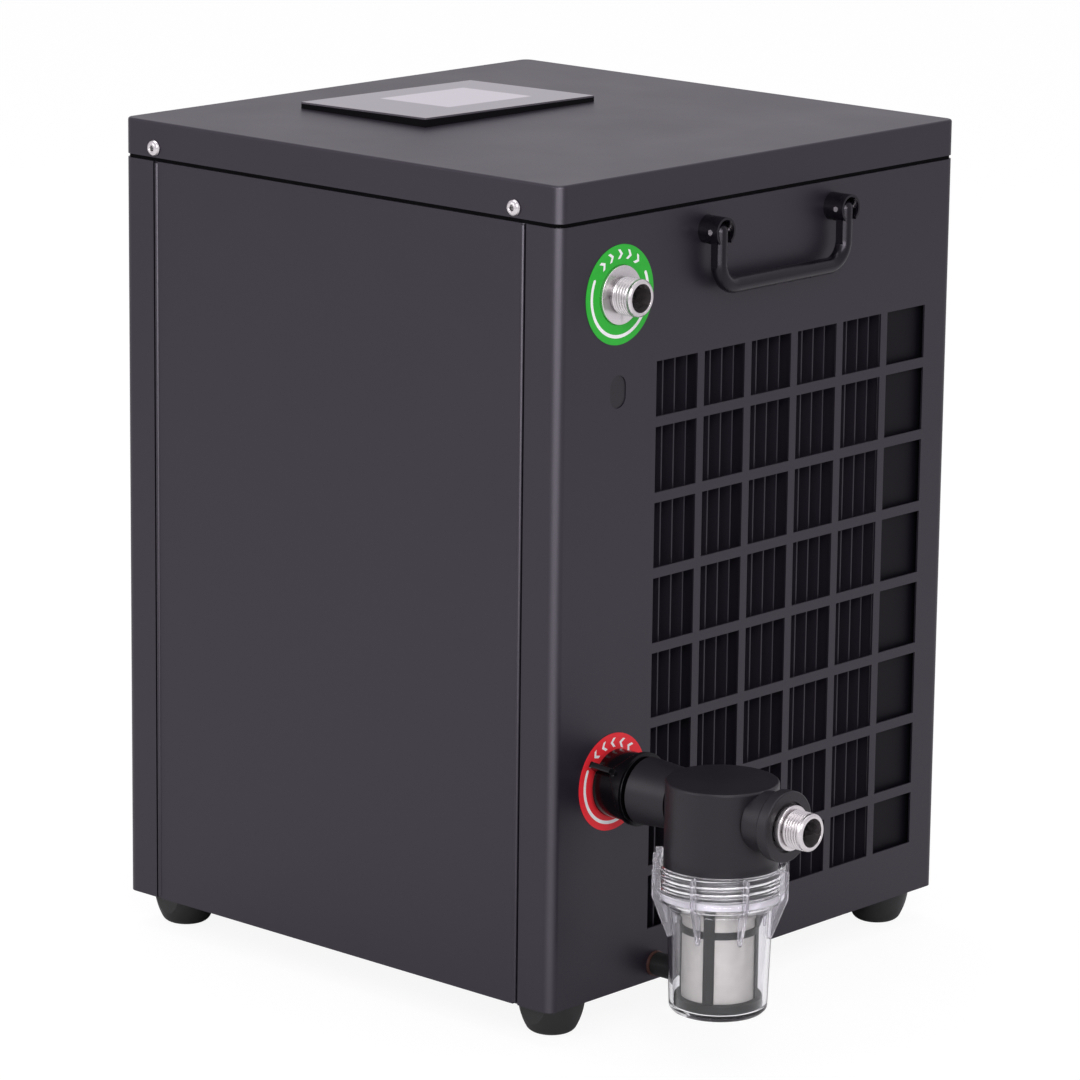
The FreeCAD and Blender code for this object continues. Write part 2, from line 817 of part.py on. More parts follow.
def side_panel(label, turn):
    """A flat side panel with both upright edges folded inwards above the base pan's lip."""
    body = new_body(label)
    reach = front - panel_return - seam_gap
    sketch = sketch_on(body, "XY_Plane")
    rectangle(sketch, -side, -reach, -side + seam_fold, reach)
    solid = pad(body, sketch, panel_height)

    def at_fold(edge):
        return is_upright(edge) and edge.CenterOfMass.x < -side.value + 0.1

    rounded = fillet(body, solid, at_fold, seam_bend)
    folded_sheet(body, rounded, [RIGHT, UP, DOWN], gauge)
    notches = sketch_on(body, "YZ_Plane", -side - fit)
    for inner, outer in ((-reach - fit, -reach + seam_bend), (reach - seam_bend, reach + fit)):
        rectangle(notches, inner, -fit, outer, pan_lip + fit)
    pocket(body, notches, seam_fold + fit * 2, reverse=True)
    in_cabinet(body, turn=turn)


def base_pan():
    """The tray that closes the bottom, with a notch for the drain and holes for the foot screws."""
    body = new_body("base_pan")
    half_width, half_depth = side - gauge - fit, front - gauge - fit
    sketch = sketch_on(body, "XY_Plane")
    rectangle(sketch, -half_width, -half_depth, half_width, half_depth)
    solid = pad(body, sketch, pan_lip)
    rounded = fillet(body, solid, is_upright, corner_bend - gauge)
    folded_sheet(body, rounded, [UP], gauge)
    notch = sketch_on(body, "XZ_Plane", half_depth + fit)
    half_notch = drain_radius + fit * 2
    rectangle(notch, -drain_x - half_notch, drain_z - half_notch, -drain_x + half_notch, pan_lip + fit)
    pocket(body, notch, gauge + fit * 2)
    holes = sketch_on(body, "XY_Plane", -fit)
    for x in (-foot_x, foot_x):
        for y in (-foot_y, foot_y):
            disc(holes, x, y, screw_radius + fit)
    pocket(body, holes, gauge + fit * 2, reverse=True)
    in_cabinet(body)


def top_frame():
    """The band inside the panels' upper edges: it carries the lid and takes its side screws."""
    body = new_body("top_frame")
    outer_x, outer_y = side - gauge - fit, front - gauge - fit
    inner_x, inner_y = outer_x - frame_gauge, outer_y - frame_gauge
    height = frame_drop + lid_gap + lid_skirt - gauge
    band = sketch_on(body, "XY_Plane")
    rectangle(band, -outer_x, -outer_y, outer_x, outer_y)
    solid = pad(body, band, height)
    fillet(body, solid, is_upright, corner_bend - gauge - fit)
    hollow = sketch_on(body, "XY_Plane", height)
    rectangle(hollow, -inner_x, -inner_y, inner_x, inner_y)
    pocket(body, hollow, height - frame_gauge)
    window = sketch_on(body, "XY_Plane", height)
    rectangle(window, -outer_x + frame_ledge, -outer_y + frame_ledge,
              outer_x - frame_ledge, outer_y - frame_ledge)
    pocket(body, window, height + fit)
    holes = sketch_on(body, "YZ_Plane", side)
    for y in lid_screw_places:
        disc(holes, y, frame_drop + lid_gap + lid_screw_rise, screw_radius + fit / 4)
    pocket(body, holes, cab_width)
    slots = sketch_on(body, "XY_Plane")
    fold_outside = front - panel_return - seam_gap + fit
    fold_inside = fold_outside - gauge - seam_bend / 2 - fit * 2
    for across in (-1, 1):
        for along in (-1, 1):
            rectangle(slots, (side - seam_fold - fit) * across, fold_inside * along,
                      side * across, fold_outside * along)
    pocket(body, slots, frame_drop + fit, reverse=True)
    in_cabinet(body, z=panel_height - frame_drop)


def lid():
    """The lid: a folded cap with a skirt, a cut-out for the display and side screw holes."""
    body = new_body("lid")
    sketch = sketch_on(body, "XY_Plane")
    rectangle(sketch, -side, -front, side, front)
    solid = pad(body, sketch, lid_skirt)
    rounded = fillet(body, solid, is_upright, corner_bend)

    def on_top(edge):
        return edge.BoundBox.ZMin > lid_skirt.value - 0.01

    softened = fillet(body, rounded, on_top, lid_edge)
    folded_sheet(body, softened, [DOWN], gauge)
    window = sketch_on(body, "XY_Plane", lid_skirt + fit)
    half_width, half_depth = neck_width / 2 + fit, neck_depth / 2 + fit
    rectangle(window, -display_x - half_width, display_y - half_depth,
              -display_x + half_width, display_y + half_depth)
    pocket(body, window, gauge + fit * 2)
    holes = sketch_on(body, "YZ_Plane", side + fit)
    for y in lid_screw_places:
        disc(holes, y, lid_screw_rise, screw_radius + fit)
    pocket(body, holes, cab_width + fit * 2)
    in_cabinet(body, z=cab_height - lid_skirt)


# Screws and feet

def screw(name, x, y, z, turn):
    """A round-head screw: its head's underside is at the point and its shank runs back from it."""
    body = document.addObject("PartDesign::Body", name)
    profile = sketch_on(body, "XZ_Plane")
    rise = screw_head_height - screw_head_rim
    dome = (screw_head * screw_head + rise * rise) / (rise * 2)
    outline(profile, [
        (0, -screw_length),
        (screw_radius, -screw_length),
        (screw_radius, 0),
        (screw_head, 0),
        (screw_head, screw_head_rim),
        (0, screw_head_height, dome),
    ])
    turned(body, profile)
    in_cabinet(body, x, y, z, turn)
    return body


def lid_screws():
    """Two screws through each side of the lid's skirt."""
    level = cab_height - lid_skirt + lid_screw_rise
    pieces = []
    for name, x, axis in (("lid_screw_left", -side, LEFT), ("lid_screw_right", side, RIGHT)):
        for index, y in enumerate(lid_screw_places):
            pieces.append(screw("%s_%d" % (name, index), x, y, level, FreeCAD.Rotation(UP, axis)))
    group("lid_screws", pieces)


def feet():
    """Four tapered rubber feet, each trimmed flat beside the cabinet's side, and their screws."""
    screws = []
    for name, x, y, outward in (
        ("foot_front_left", -foot_x, -foot_y, -1),
        ("foot_front_right", foot_x, -foot_y, 1),
        ("foot_back_left", -foot_x, foot_y, -1),
        ("foot_back_right", foot_x, foot_y, 1),
    ):
        body = new_body(name)
        profile = sketch_on(body, "XZ_Plane")
        outline(profile, [
            (screw_radius + fit, -foot_recess),
            (screw_head + fit * 2, -foot_recess),
            (screw_head + fit * 2, -foot_height),
            (foot_sole, -foot_height),
            (foot_heel_radius, foot_heel - foot_height, foot_heel_bend),
            (foot_radius, 0, foot_flank_bend),
            (screw_radius + fit, 0),
        ])
        turned(body, profile)
        trim = sketch_on(body, "XY_Plane")
        inner, outer = foot_flat * outward, (foot_radius + fit) * outward
        rectangle(trim, inner, -foot_radius, outer, foot_radius)
        pocket(body, trim, foot_height)
        in_cabinet(body, x, y)
        screws.append(screw(name + "_screw", x, y, -foot_recess, FreeCAD.Rotation(UP, DOWN)))
    group("foot_screws", screws)


# Grille vanes

def vane_grille():
    """Upright vanes behind the first five columns and a blank plate behind the last one."""
    body = new_body("vane_grille")
    left, right = -grille_left - vane_margin, -grille_left + grille_width + vane_margin
    bottom, top = grille_bottom - vane_margin, grille_bottom + grille_height + vane_margin
    plate = sketch_on(body, "XZ_Plane")
    rectangle(plate, left, bottom, right, top)
    pad(body, plate, vane_depth)
    first = vane_pitch - grille_left - vane_offset
    last = first + vane_pitch * (vane_count - 1)
    opening = sketch_on(body, "XZ_Plane")
    rectangle(opening, left + vane_margin / 2, bottom + vane_margin / 2,
              last + vane_pitch / 2, top - vane_margin / 2)
    pocket(body, opening, vane_depth, reverse=True)
    blade = sketch_on(body, "XZ_Plane")
    rectangle(blade, first, bottom + vane_margin / 4, first + vane_gauge, top - vane_margin / 4)
    upright = pad(body, blade, vane_depth)
    repeated(body, upright, blade, "H_Axis", vane_pitch * (vane_count - 1), vane_count)
    hollow = sketch_on(body, "XZ_Plane")
    rectangle(hollow, last + vane_pitch, bottom + vane_margin / 2, right - vane_margin / 2,
              top - vane_margin / 2)
    pocket(body, hollow, vane_depth - frame_gauge, reverse=True)
    in_cabinet(body, y=-front + gauge + vane_setback + vane_depth)


# Carrying handles

def handle_boss(label, x, y, turn):
    """A tube on the panel, open at its front and slotted below for the bail's arm."""
    body = turned_body(label, [
        (0, 0),
        (boss_radius, 0),
        (boss_radius, boss_length),
        (boss_radius - boss_wall, boss_length),
        (boss_radius - boss_wall, boss_floor),
        (0, boss_floor),
    ])
    half = rod_radius - arm_flat + slot_clearance
    opening = sketch_on(body, "XY_Plane", boss_length + fit)
    rectangle(opening, -half, -boss_radius - fit, half, 0)
    pocket(body, opening, rod_radius * 2 + slot_clearance * 2)
    cross = sketch_on(body, "YZ_Plane", boss_radius + fit)
    disc(cross, 0, pin_reach, pin_radius)
    pocket(body, cross, (boss_radius + fit) * 2)
    in_cabinet(body, x, y, handle_z, turn)
    length = boss_radius * 2 + pin_proud * 2
    pin = cylinder(label + "_pin", pin_radius, length)
    outward = -1 if number(y) < 0 else 1
    in_cabinet(pin, x - length / 2, y + pin_reach * outward, handle_z, FreeCAD.Rotation(UP, RIGHT))
    return pin


def bail(label, x, y, outward):
    """The bent rod: two arms with flats and pin eyes, joined by a bar with round bends."""
    body = new_body(label)
    half = handle_span / 2
    path = sketch_on(body, "XZ_Plane")
    drop = bail_drop - rod_bend
    outline(path, [
        (-half, 0),
        (-half, -drop),
        (-half + rod_bend, -bail_drop, rod_bend),
        (half - rod_bend, -bail_drop),
        (half, -drop, rod_bend),
        (half, 0),
    ], closed=False)
    section = sketch_on(body, "XY_Plane")
    disc(section, -half, 0, rod_radius)
    document.recompute()
    rod = body.newObject("PartDesign::AdditivePipe", "AdditivePipe")
    rod.Profile = section
    rod.Spine = (path, [])
    for way in (-1, 1):
        end = body.newObject("PartDesign::AdditiveSphere", "RoundEnd")
        bind(end, "Radius", rod_radius)
        end.setExpression("Placement.Base.x", formula_of(half * way))
    document.recompute()
    flats = sketch_on(body, "XZ_Plane", rod_radius)
    for centre in (-half, half):
        for way in (-1, 1):
            inner, outer = centre + (rod_radius - arm_flat) * way, centre + (rod_radius + fit) * way
            rectangle(flats, inner, -arm_flat_length, outer, rod_radius)
    pocket(body, flats, rod_radius * 2)
    eyes = sketch_on(body, "YZ_Plane", half + rod_radius * 2)
    disc(eyes, 0, 0, pin_radius + running_gap / 2)
    pocket(body, eyes, handle_span + rod_radius * 4)
    in_cabinet(body, x, y + pin_reach * outward, handle_z)


def handles():
    """A folding handle on the grille side and one on the far side."""
    pins = []
    half = handle_span / 2
    for name, y, turn, outward in (
        ("port_handle", -front, TOWARDS_FRONT, -1),
        ("rear_handle", front, TOWARDS_BACK, 1),
    ):
        for hand, x in (("left", handle_x - half), ("right", handle_x + half)):
            pins.append(handle_boss("%s_boss_%s" % (name, hand), x, y, turn))
        bail(name + "_bail", handle_x, y, outward)
    group("handle_pins", pins)


# Water ports

def label_ring(label, level):
    """A round printed label about a port."""
    body = new_body(label)
    sketch = sketch_on(body, "XY_Plane")
    disc(sketch, 0, 0, label_radius)
    disc(sketch, 0, 0, port_flange + fit / 2)
    pad(body, sketch, label_gauge)
    in_cabinet(body, -port_x, front_y, level, TOWARDS_FRONT)


def port_fitting(label, level):
    """A turned steel nipple with its flange on the panel and a hose tail inside."""
    edge = label_gauge
    groove = thread_radius - label_gauge * 2
    tail = -port_tail
    thread_end = -(gauge + locknut_height * 2)
    body = turned_body(label, [
        (port_bore, tail),
        (tail_radius, tail),
        (tail_radius, thread_end),
        (thread_radius, thread_end),
        (thread_radius, 0),
        (port_flange, 0),
        (port_flange, port_flange_gauge - edge),
        (port_flange - edge, port_flange_gauge),
        (groove, port_flange_gauge),
        (groove, port_flange_gauge * 2),
        (thread_radius, port_flange_gauge * 2),
        (thread_radius, nipple_reach - edge * 2),
        (thread_radius - edge * 2, nipple_reach),
        (port_bore, nipple_reach),
    ])
    in_cabinet(body, -port_x, front_y, level, TOWARDS_FRONT)


def locknut(name, level):
    """A hexagon nut that clamps a fitting from inside the panel."""
    body = document.addObject("PartDesign::Body", name)
    sketch = sketch_on(body, "XY_Plane")
    hexagon(sketch, locknut_across)
    disc(sketch, 0, 0, thread_radius + label_gauge / 2)
    pad(body, sketch, locknut_height)
    in_cabinet(body, -port_x, front_y + gauge + locknut_height, level, TOWARDS_FRONT)
    return body


def drain():
    """The drain: a stub through the panel, its seal and the rubber cap pushed over it."""
    stub = turned_body("drain_stub", [
        (drain_bore, -drain_tail),
        (drain_radius, -drain_tail),
        (drain_radius, drain_reach),
        (drain_bore, drain_reach),
    ])
    seal = turned_body("drain_seal", [
        (drain_radius + fit / 4, 0),
        (drain_seal_radius, 0),
        (drain_seal_radius, drain_seal_gauge),
        (drain_radius + fit / 4, drain_seal_gauge),
    ])
    rounding = drain_seal_gauge
    start = drain_seal_gauge + running_gap
    hollow = drain_radius + running_gap
    cap = turned_body("drain_cap", [
        (hollow, start),
        (drain_cap_radius, start),
        (drain_cap_radius, drain_cap_reach - rounding),
        (drain_cap_radius - rounding, drain_cap_reach, rounding),
        (0, drain_cap_reach),
        (0, drain_reach + running_gap),
        (hollow, drain_reach + running_gap),
    ])
    for piece in (stub, seal, cap):
        in_cabinet(piece, -drain_x, front_y, drain_z, TOWARDS_FRONT)


# Inlet filter

def union_nut():
    """The union nut: a round barrel with a rounded front ring, a lip inside and two wings."""
    round_edge = nut_round
    skirt_start = port_flange_gauge + fit
    lip_start = neck_flange_end + running_gap
    body = turned_body("union_nut", [
        (thread_radius + running_gap, nut_back),
        (port_flange, nut_back - round_edge),
        (port_flange, skirt_start),
        (nut_radius - round_edge * 2, skirt_start),
        (nut_radius - round_edge, skirt_start + round_edge, round_edge),
        (nut_radius - round_edge, nut_back),
        (nut_radius, nut_back),
        (nut_radius, nut_front - round_edge * 3),
        (nut_radius + round_edge / 2, nut_front - round_edge * 2),
        (nut_radius + round_edge / 2, nut_front - round_edge),
        (nut_radius - round_edge / 2, nut_front, round_edge),
        (neck_radius + running_gap, nut_front),
        (neck_radius + running_gap, lip_start),
        (neck_flange_radius + running_gap, lip_start),
        (neck_flange_radius + running_gap, nipple_reach + running_gap),
        (thread_radius + running_gap, nipple_reach + running_gap),
    ])
    wing = sketch_on(body, "XZ_Plane", -wing_gauge / 2)
    root = nut_radius - round_edge * 2
    outline(wing, [
        (root, nut_back - round_edge),
        (wing_radius - round_edge, nut_back - round_edge),
        (wing_radius, nut_back + round_edge, wing_bend),
        (nut_radius + round_edge / 2, nut_front - round_edge * 4),
        (root, nut_front - round_edge * 4),
    ])
    ear = pad(body, wing, wing_gauge)
    ring_pattern(body, ear, 2)
    turn = TOWARDS_FRONT.multiply(FreeCAD.Rotation(UP, wing_angle))
    in_cabinet(body, -port_x, front_y, inlet_z, turn)
    washer = turned_body("union_washer", [
        (port_bore, nipple_reach),
        (thread_radius, nipple_reach),
        (thread_radius, washer_end),
        (port_bore, washer_end),
    ])
    in_cabinet(washer, -port_x, front_y, inlet_z, TOWARDS_FRONT)


def filter_head():
    """The moulded head: an upright cup, the inlet branch with its union neck and the outlet branch."""
    inner = head_radius - head_wall
    floor = head_rise - head_wall
    body = new_body("filter_head")
    cup = sketch_on(body, "XZ_Plane")
    outline(cup, [
        (0, floor),
        (inner, floor),
        (inner, -head_drop),
        (head_radius, -head_drop),
        (head_radius, head_rise - head_edge),
        (head_radius - head_edge, head_rise, head_edge),
        (0, head_rise),
    ])
    turned(body, cup)
    inlet = sketch_on(body, "XZ_Plane", -head_reach + washer_end)
    disc(inlet, 0, 0, neck_flange_radius)
    pad(body, inlet, neck_flange_gauge)
    neck = sketch_on(body, "XZ_Plane", -head_reach + neck_flange_end)
    disc(neck, 0, 0, neck_radius)
    pad(body, neck, branch_start - neck_flange_end)
    wide = sketch_on(body, "XZ_Plane", -head_reach + branch_start)
    disc(wide, 0, 0, branch_radius)
    narrow = sketch_on(body, "XZ_Plane", -inner)
    disc(narrow, 0, 0, branch_end_radius)
    document.recompute()
    taper = body.newObject("PartDesign::AdditiveLoft", "AdditiveLoft")
    taper.Profile = wide
    taper.Sections = [narrow]
    document.recompute()
    outlet = sketch_on(body, "XZ_Plane", inner)
    disc(outlet, 0, 0, spigot_radius)
    reach = collar_reach - head_reach
    pad(body, outlet, reach - inner - collar_gauge / 2)
    collar = sketch_on(body, "XZ_Plane", reach - collar_gauge)
    disc(collar, 0, 0, collar_radius)
    ring = pad(body, collar, collar_gauge)

    def at_collar(edge):
        box = edge.BoundBox
        return box.YLength < 0.01 and box.YMin < -reach.value + collar_gauge.value + 0.1 and \
            abs(box.ZLength - collar_radius.value * 2) < 0.1

    fillet(body, ring, at_collar, collar_bend)
    recess = sketch_on(body, "XZ_Plane", reach)
    disc(recess, 0, 0, shoulder_radius + collar_recess)
    pocket(body, recess, collar_recess)
    socket = sketch_on(body, "XZ_Plane", reach)
    disc(socket, 0, 0, thread_radius + fit / 4)
    pocket(body, socket, reach - inner - head_wall)
    waterway = sketch_on(body, "XZ_Plane", reach)
    disc(waterway, 0, 0, port_bore)
    pocket(body, waterway, reach + head_reach - washer_end)
    in_cabinet(body, -port_x, head_y, inlet_z)


def filter_nipple():
    """The steel nipple in the head's outlet branch."""
    edge = label_gauge * 2
    seat = collar_reach - collar_recess
    shoulder_end = seat + shoulder_length
    groove = thread_radius - edge
    body = turned_body("filter_nipple", [
        (port_bore, head_reach + head_radius + head_wall),
        (thread_radius, head_reach + head_radius + head_wall),
        (thread_radius, seat),
        (shoulder_radius, seat),
        (shoulder_radius, seat + collar_recess),
        (shoulder_radius - edge, seat + collar_recess),
        (shoulder_radius - edge, shoulder_end),
        (groove, shoulder_end),
        (groove, shoulder_end + edge),
        (thread_radius, shoulder_end + edge),
        (thread_radius, filter_reach - edge),
        (thread_radius - edge, filter_reach),
        (port_bore, filter_reach),
    ])
    in_cabinet(body, -port_x, front_y, inlet_z, TOWARDS_FRONT)


def filter_bowl():
    """The clear bowl: a threaded collar with eight grip ribs over a slightly tapered cup."""
    shoulder = -bowl_shoulder
    collar_inner = bowl_collar - bowl_wall
    body = turned_body("filter_bowl", [
        (0, -bowl_drop),
        (bowl_foot_radius - bowl_floor / 2, -bowl_drop),
        (bowl_foot_radius, -bowl_drop + bowl_floor / 2, bowl_floor / 2),
        (bowl_top_radius, shoulder - bowl_wall * 2),
        (bowl_collar, shoulder),
        (bowl_collar, -bowl_rim),
        (collar_inner, -bowl_rim),
        (collar_inner, shoulder + bowl_wall / 4),
        (bowl_top_radius - bowl_wall, shoulder + bowl_wall / 4),
        (bowl_foot_radius - bowl_wall, -bowl_drop + bowl_floor),
        (0, -bowl_drop + bowl_floor),
    ])
    rib = sketch_on(body, "XZ_Plane", -rib_gauge / 2)
    foot = shoulder - rib_drop
    outline(rib, [
        (collar_inner + bowl_wall / 2, -bowl_rim - bowl_wall / 4),
        (rib_radius, -bowl_rim - bowl_wall / 4),
        (rib_radius, shoulder + bowl_floor),
        (bowl_top_radius + bowl_wall / 8, foot),
        (bowl_top_radius - bowl_wall, foot + bowl_floor),
        (bowl_top_radius - bowl_wall, shoulder - bowl_floor),
        (collar_inner + bowl_wall / 2, shoulder + bowl_wall / 2),
    ])
    grip = pad(body, rib, rib_gauge)
    ring_pattern(body, grip, rib_count)
    tab = sketch_on(body, "XY_Plane", -bowl_rim - bowl_wall / 2)
    rectangle_at_angle(tab, (collar_inner + bowl_collar) / 2, tab_turn, tab_gauge, tab_width)
    pad(body, tab, tab_height)
    in_cabinet(body, -port_x, head_y, inlet_z, FreeCAD.Rotation(UP, bowl_turn))


def bowl_seal():
    """The seal ring on the bowl's shoulder, under the head's rim."""
    outer = bowl_collar - bowl_wall - running_gap
    bottom = -bowl_shoulder + bowl_wall / 4 + running_gap
    body = turned_body("bowl_seal", [
        (outer - seal_width, bottom),
        (outer, bottom),
        (outer, -head_drop - running_gap),
        (outer - seal_width, -head_drop - running_gap),
    ])
    in_cabinet(body, -port_x, head_y, inlet_z)


def strainer():
    """The lift-out strainer: a steel mesh tube in a moulded frame of rings and ribs."""
    bottom = -bowl_drop + bowl_floor + running_gap
    base_top = bottom + strainer_base
    base_radius = bowl_foot_radius - bowl_wall - running_gap * 2
    inner = mesh_radius + running_gap / 2
    outer = mesh_radius + mesh_gauge * 2
    top = -bowl_shoulder + bowl_wall
    plinth = mesh_gauge * 3
    body = new_body("strainer_frame")
    wall = sketch_on(body, "XZ_Plane")
    outline(wall, [
        (0, bottom),
        (base_radius, bottom),
        (base_radius, base_top),
        (outer, base_top),
        (outer, top),
        (inner, top),
        (inner, bottom + plinth),
        (0, bottom + plinth),
    ])
    turned(body, wall)
    upper_start = strainer_middle + strainer_ring
    for level, depth in (
        (strainer_middle, strainer_middle - base_top),
        (top - plinth, top - plinth - upper_start),
    ):
        window = sketch_on(body, "XY_Plane", level)
        rectangle(window, strainer_rib / 2, strainer_rib / 2, outer, outer)
        opening = pocket(body, window, depth)
        ring_pattern(body, opening, 4)
    in_cabinet(body, -port_x, head_y, inlet_z, FreeCAD.Rotation(UP, strainer_turn))
    mesh = turned_body("strainer_mesh", [
        (mesh_radius - mesh_gauge, bottom + plinth),
        (mesh_radius, bottom + plinth),
        (mesh_radius, top),
        (mesh_radius - mesh_gauge, top),
    ])
    in_cabinet(mesh, -port_x, head_y, inlet_z)


# Display

def display():
    """The touch panel: a wedge-shaped housing let into the lid, under a sheet of dark glass."""
    left, right = -display_x - display_width / 2, -display_x + display_width / 2
    near, far = display_y - display_depth / 2, display_y + display_depth / 2
    right_back = display_left_back + display_right_front - display_left_front
    heights = (
        (left, display_left_front, display_left_back),
        (right, display_right_front, right_back),
    )

    def wedge(body, under, over):
        sections = []
        for x, at_near, at_far in heights:
            section = sketch_on(body, "YZ_Plane", x)
            outline(section, [
                (near, at_near * under[0] - under[1]),
                (far, at_far * under[0] - under[1]),
                (far, at_far - over),
                (near, at_near - over),
            ])
            sections.append(section)
        document.recompute()
        loft = body.newObject("PartDesign::AdditiveLoft", "AdditiveLoft")
        loft.Profile = sections[0]
        loft.Sections = [sections[1]]
        document.recompute()

    housing = new_body("display_housing")
    wedge(housing, (0, 0), glass_gauge)
    neck = sketch_on(housing, "XY_Plane")
    rectangle(neck, -display_x - neck_width / 2, display_y - neck_depth / 2,
              -display_x + neck_width / 2, display_y + neck_depth / 2)
    pad(housing, neck, neck_height, reverse=True)
    in_cabinet(housing, z=cab_height)
    glass = new_body("display_glass")
    wedge(glass, (1, glass_gauge), 0)
    in_cabinet(glass, z=cab_height)
    box = block("control_box", control_width, control_depth, control_height)
    in_cabinet(box, -display_x - control_width / 2, display_y - control_depth / 2,
               cab_height - neck_height - control_height)
    kept(box)


# Hot side

def condenser():
    """The finned coil behind the vanes, its end plates standing on the base pan, and its bends."""
    left, right = coil_x - coil_width / 2, coil_x + coil_width / 2
    body = new_body("condenser")
    block_sketch = sketch_on(body, "XZ_Plane")
    rectangle(block_sketch, left, coil_bottom, right, coil_bottom + coil_height)
    pad(body, block_sketch, coil_depth)
    grooves = sketch_on(body, "XZ_Plane", coil_depth)
    first = left + fin_pitch
    rectangle(grooves, first, coil_bottom + fin_pitch, first + fin_pitch - fin_gauge,
              coil_bottom + coil_height - fin_pitch)
    groove = pocket(body, grooves, fin_groove)
    count = int(number(coil_width) / number(fin_pitch)) - 2
    repeated(body, groove, grooves, "H_Axis", fin_pitch * (count - 1), count)
    legs = sketch_on(body, "XZ_Plane")
    rectangle(legs, left, gauge, left + fin_pitch, coil_bottom)
    rectangle(legs, right - fin_pitch, gauge, right, coil_bottom)
    pad(body, legs, coil_depth)
    in_cabinet(body, y=coil_back)
    bends = []
    middle = coil_back - coil_depth / 2
    for index in range(bend_count):
        for name, x, lift, turn in (("left", left, 1, 180), ("right", right, 2, 0)):
            level = coil_bottom + bend_pitch * (2 * index + lift)
            bend = document.addObject("Part::Torus", "bend_%s_%d" % (name, index))
            bind(bend, "Radius1", bend_pitch / 2)
            bind(bend, "Radius2", bend_tube)
            bend.Angle3 = 180
            upright = FreeCAD.Rotation(FreeCAD.Vector(1, 1, 1), -120)
            in_cabinet(bend, x, middle, level, FreeCAD.Rotation(UP, turn).multiply(upright))
            bends.append(bend)
    group("condenser_bends", bends)


def fan():
    """The fan cowl with its motor cradle, the motor, and the fan on its shaft."""
    cowl = new_body("fan_cowl")
    opening = fan_radius + fan_gap
    plate = sketch_on(cowl, "XZ_Plane")
    rectangle(plate, -coil_width / 2, -fan_level + coil_bottom, coil_width / 2,
              coil_bottom + coil_height - fan_level)
    pad(cowl, plate, shroud_depth, reverse=True)
    hollow = sketch_on(cowl, "XZ_Plane")
    rectangle(hollow, -coil_width / 2 + gauge, -fan_level + coil_bottom + gauge,
              coil_width / 2 - gauge, coil_bottom + coil_height - fan_level - gauge)
    pocket(cowl, hollow, shroud_depth - gauge)
    ring = sketch_on(cowl, "XZ_Plane", -shroud_depth - mouth_reach)
    disc(ring, 0, 0, opening + gauge)
    pad(cowl, ring, mouth_reach + mouth_lip)
    mouth = sketch_on(cowl, "XZ_Plane", -shroud_depth - mouth_reach - fit)
    disc(mouth, 0, 0, opening)
    pocket(cowl, mouth, mouth_reach + mouth_lip + gauge * 2, reverse=True)
    cradle = sketch_on(cowl, "XZ_Plane", -shroud_depth - mouth_reach)
    disc(cradle, 0, 0, motor_radius - gauge)
    disc(cradle, 0, 0, shaft_radius * 3)
    pad(cowl, cradle, gauge)
    arm = sketch_on(cowl, "XZ_Plane", -shroud_depth - mouth_reach)
    for way in (-1, 1):
        rectangle(arm, (motor_radius - gauge * 2) * way, -fin_pitch, (opening + gauge / 2) * way, fin_pitch)
        rectangle(arm, -fin_pitch, (motor_radius - gauge * 2) * way, fin_pitch, (opening + gauge / 2) * way)
    pad(cowl, arm, gauge)
    in_cabinet(cowl, coil_x, coil_back, fan_level)
    cradle_back = coil_back + shroud_depth + mouth_reach
    motor = turned_body("fan_motor", [
        (shaft_radius + running_gap, 0),
        (motor_radius - gauge * 2, 0),
        (motor_radius, gauge * 2),
        (motor_radius, motor_length - gauge * 4),
        (motor_radius - gauge * 4, motor_length),
        (0, motor_length),
        (0, motor_length / 2),
        (shaft_radius + running_gap, motor_length / 2),
    ])
    in_cabinet(motor, coil_x, cradle_back, fan_level, TOWARDS_BACK)
    rotor = turned_body("fan_rotor", [
        (0, -hub_height),
        (hub_radius - gauge * 2, -hub_height),
        (hub_radius, -hub_height + gauge * 2, gauge * 2),
        (hub_radius, 0),
        (shaft_radius, 0),
        (shaft_radius, hub_clearance + motor_length / 2 - gauge),
        (0, hub_clearance + motor_length / 2 - gauge),
    ])
    sections = []
    for radius, chord, angle in (
        (hub_radius - gauge, hub_height, blade_root_angle),
        (fan_radius, blade_chord, blade_tip_angle),
    ):
        section = sketch_on(rotor, "YZ_Plane", radius)
        cosine, sine = math.cos(math.radians(angle)), math.sin(math.radians(angle))
        outline(section, [
            (
                chord * cosine * along - blade_gauge * sine * over,
                chord * sine * along + blade_gauge * cosine * over - hub_height / 2,
            )
            for along, over in ((-0.5, -0.5), (0.5, -0.5), (0.5, 0.5), (-0.5, 0.5))
        ])
        sections.append(section)
    document.recompute()
    blade = rotor.newObject("PartDesign::AdditiveLoft", "AdditiveLoft")
    blade.Profile = sections[0]
    blade.Sections = [sections[1]]
    document.recompute()
    ring_pattern(rotor, blade, blade_count)
    in_cabinet(rotor, coil_x, cradle_back - hub_clearance, fan_level, TOWARDS_BACK)


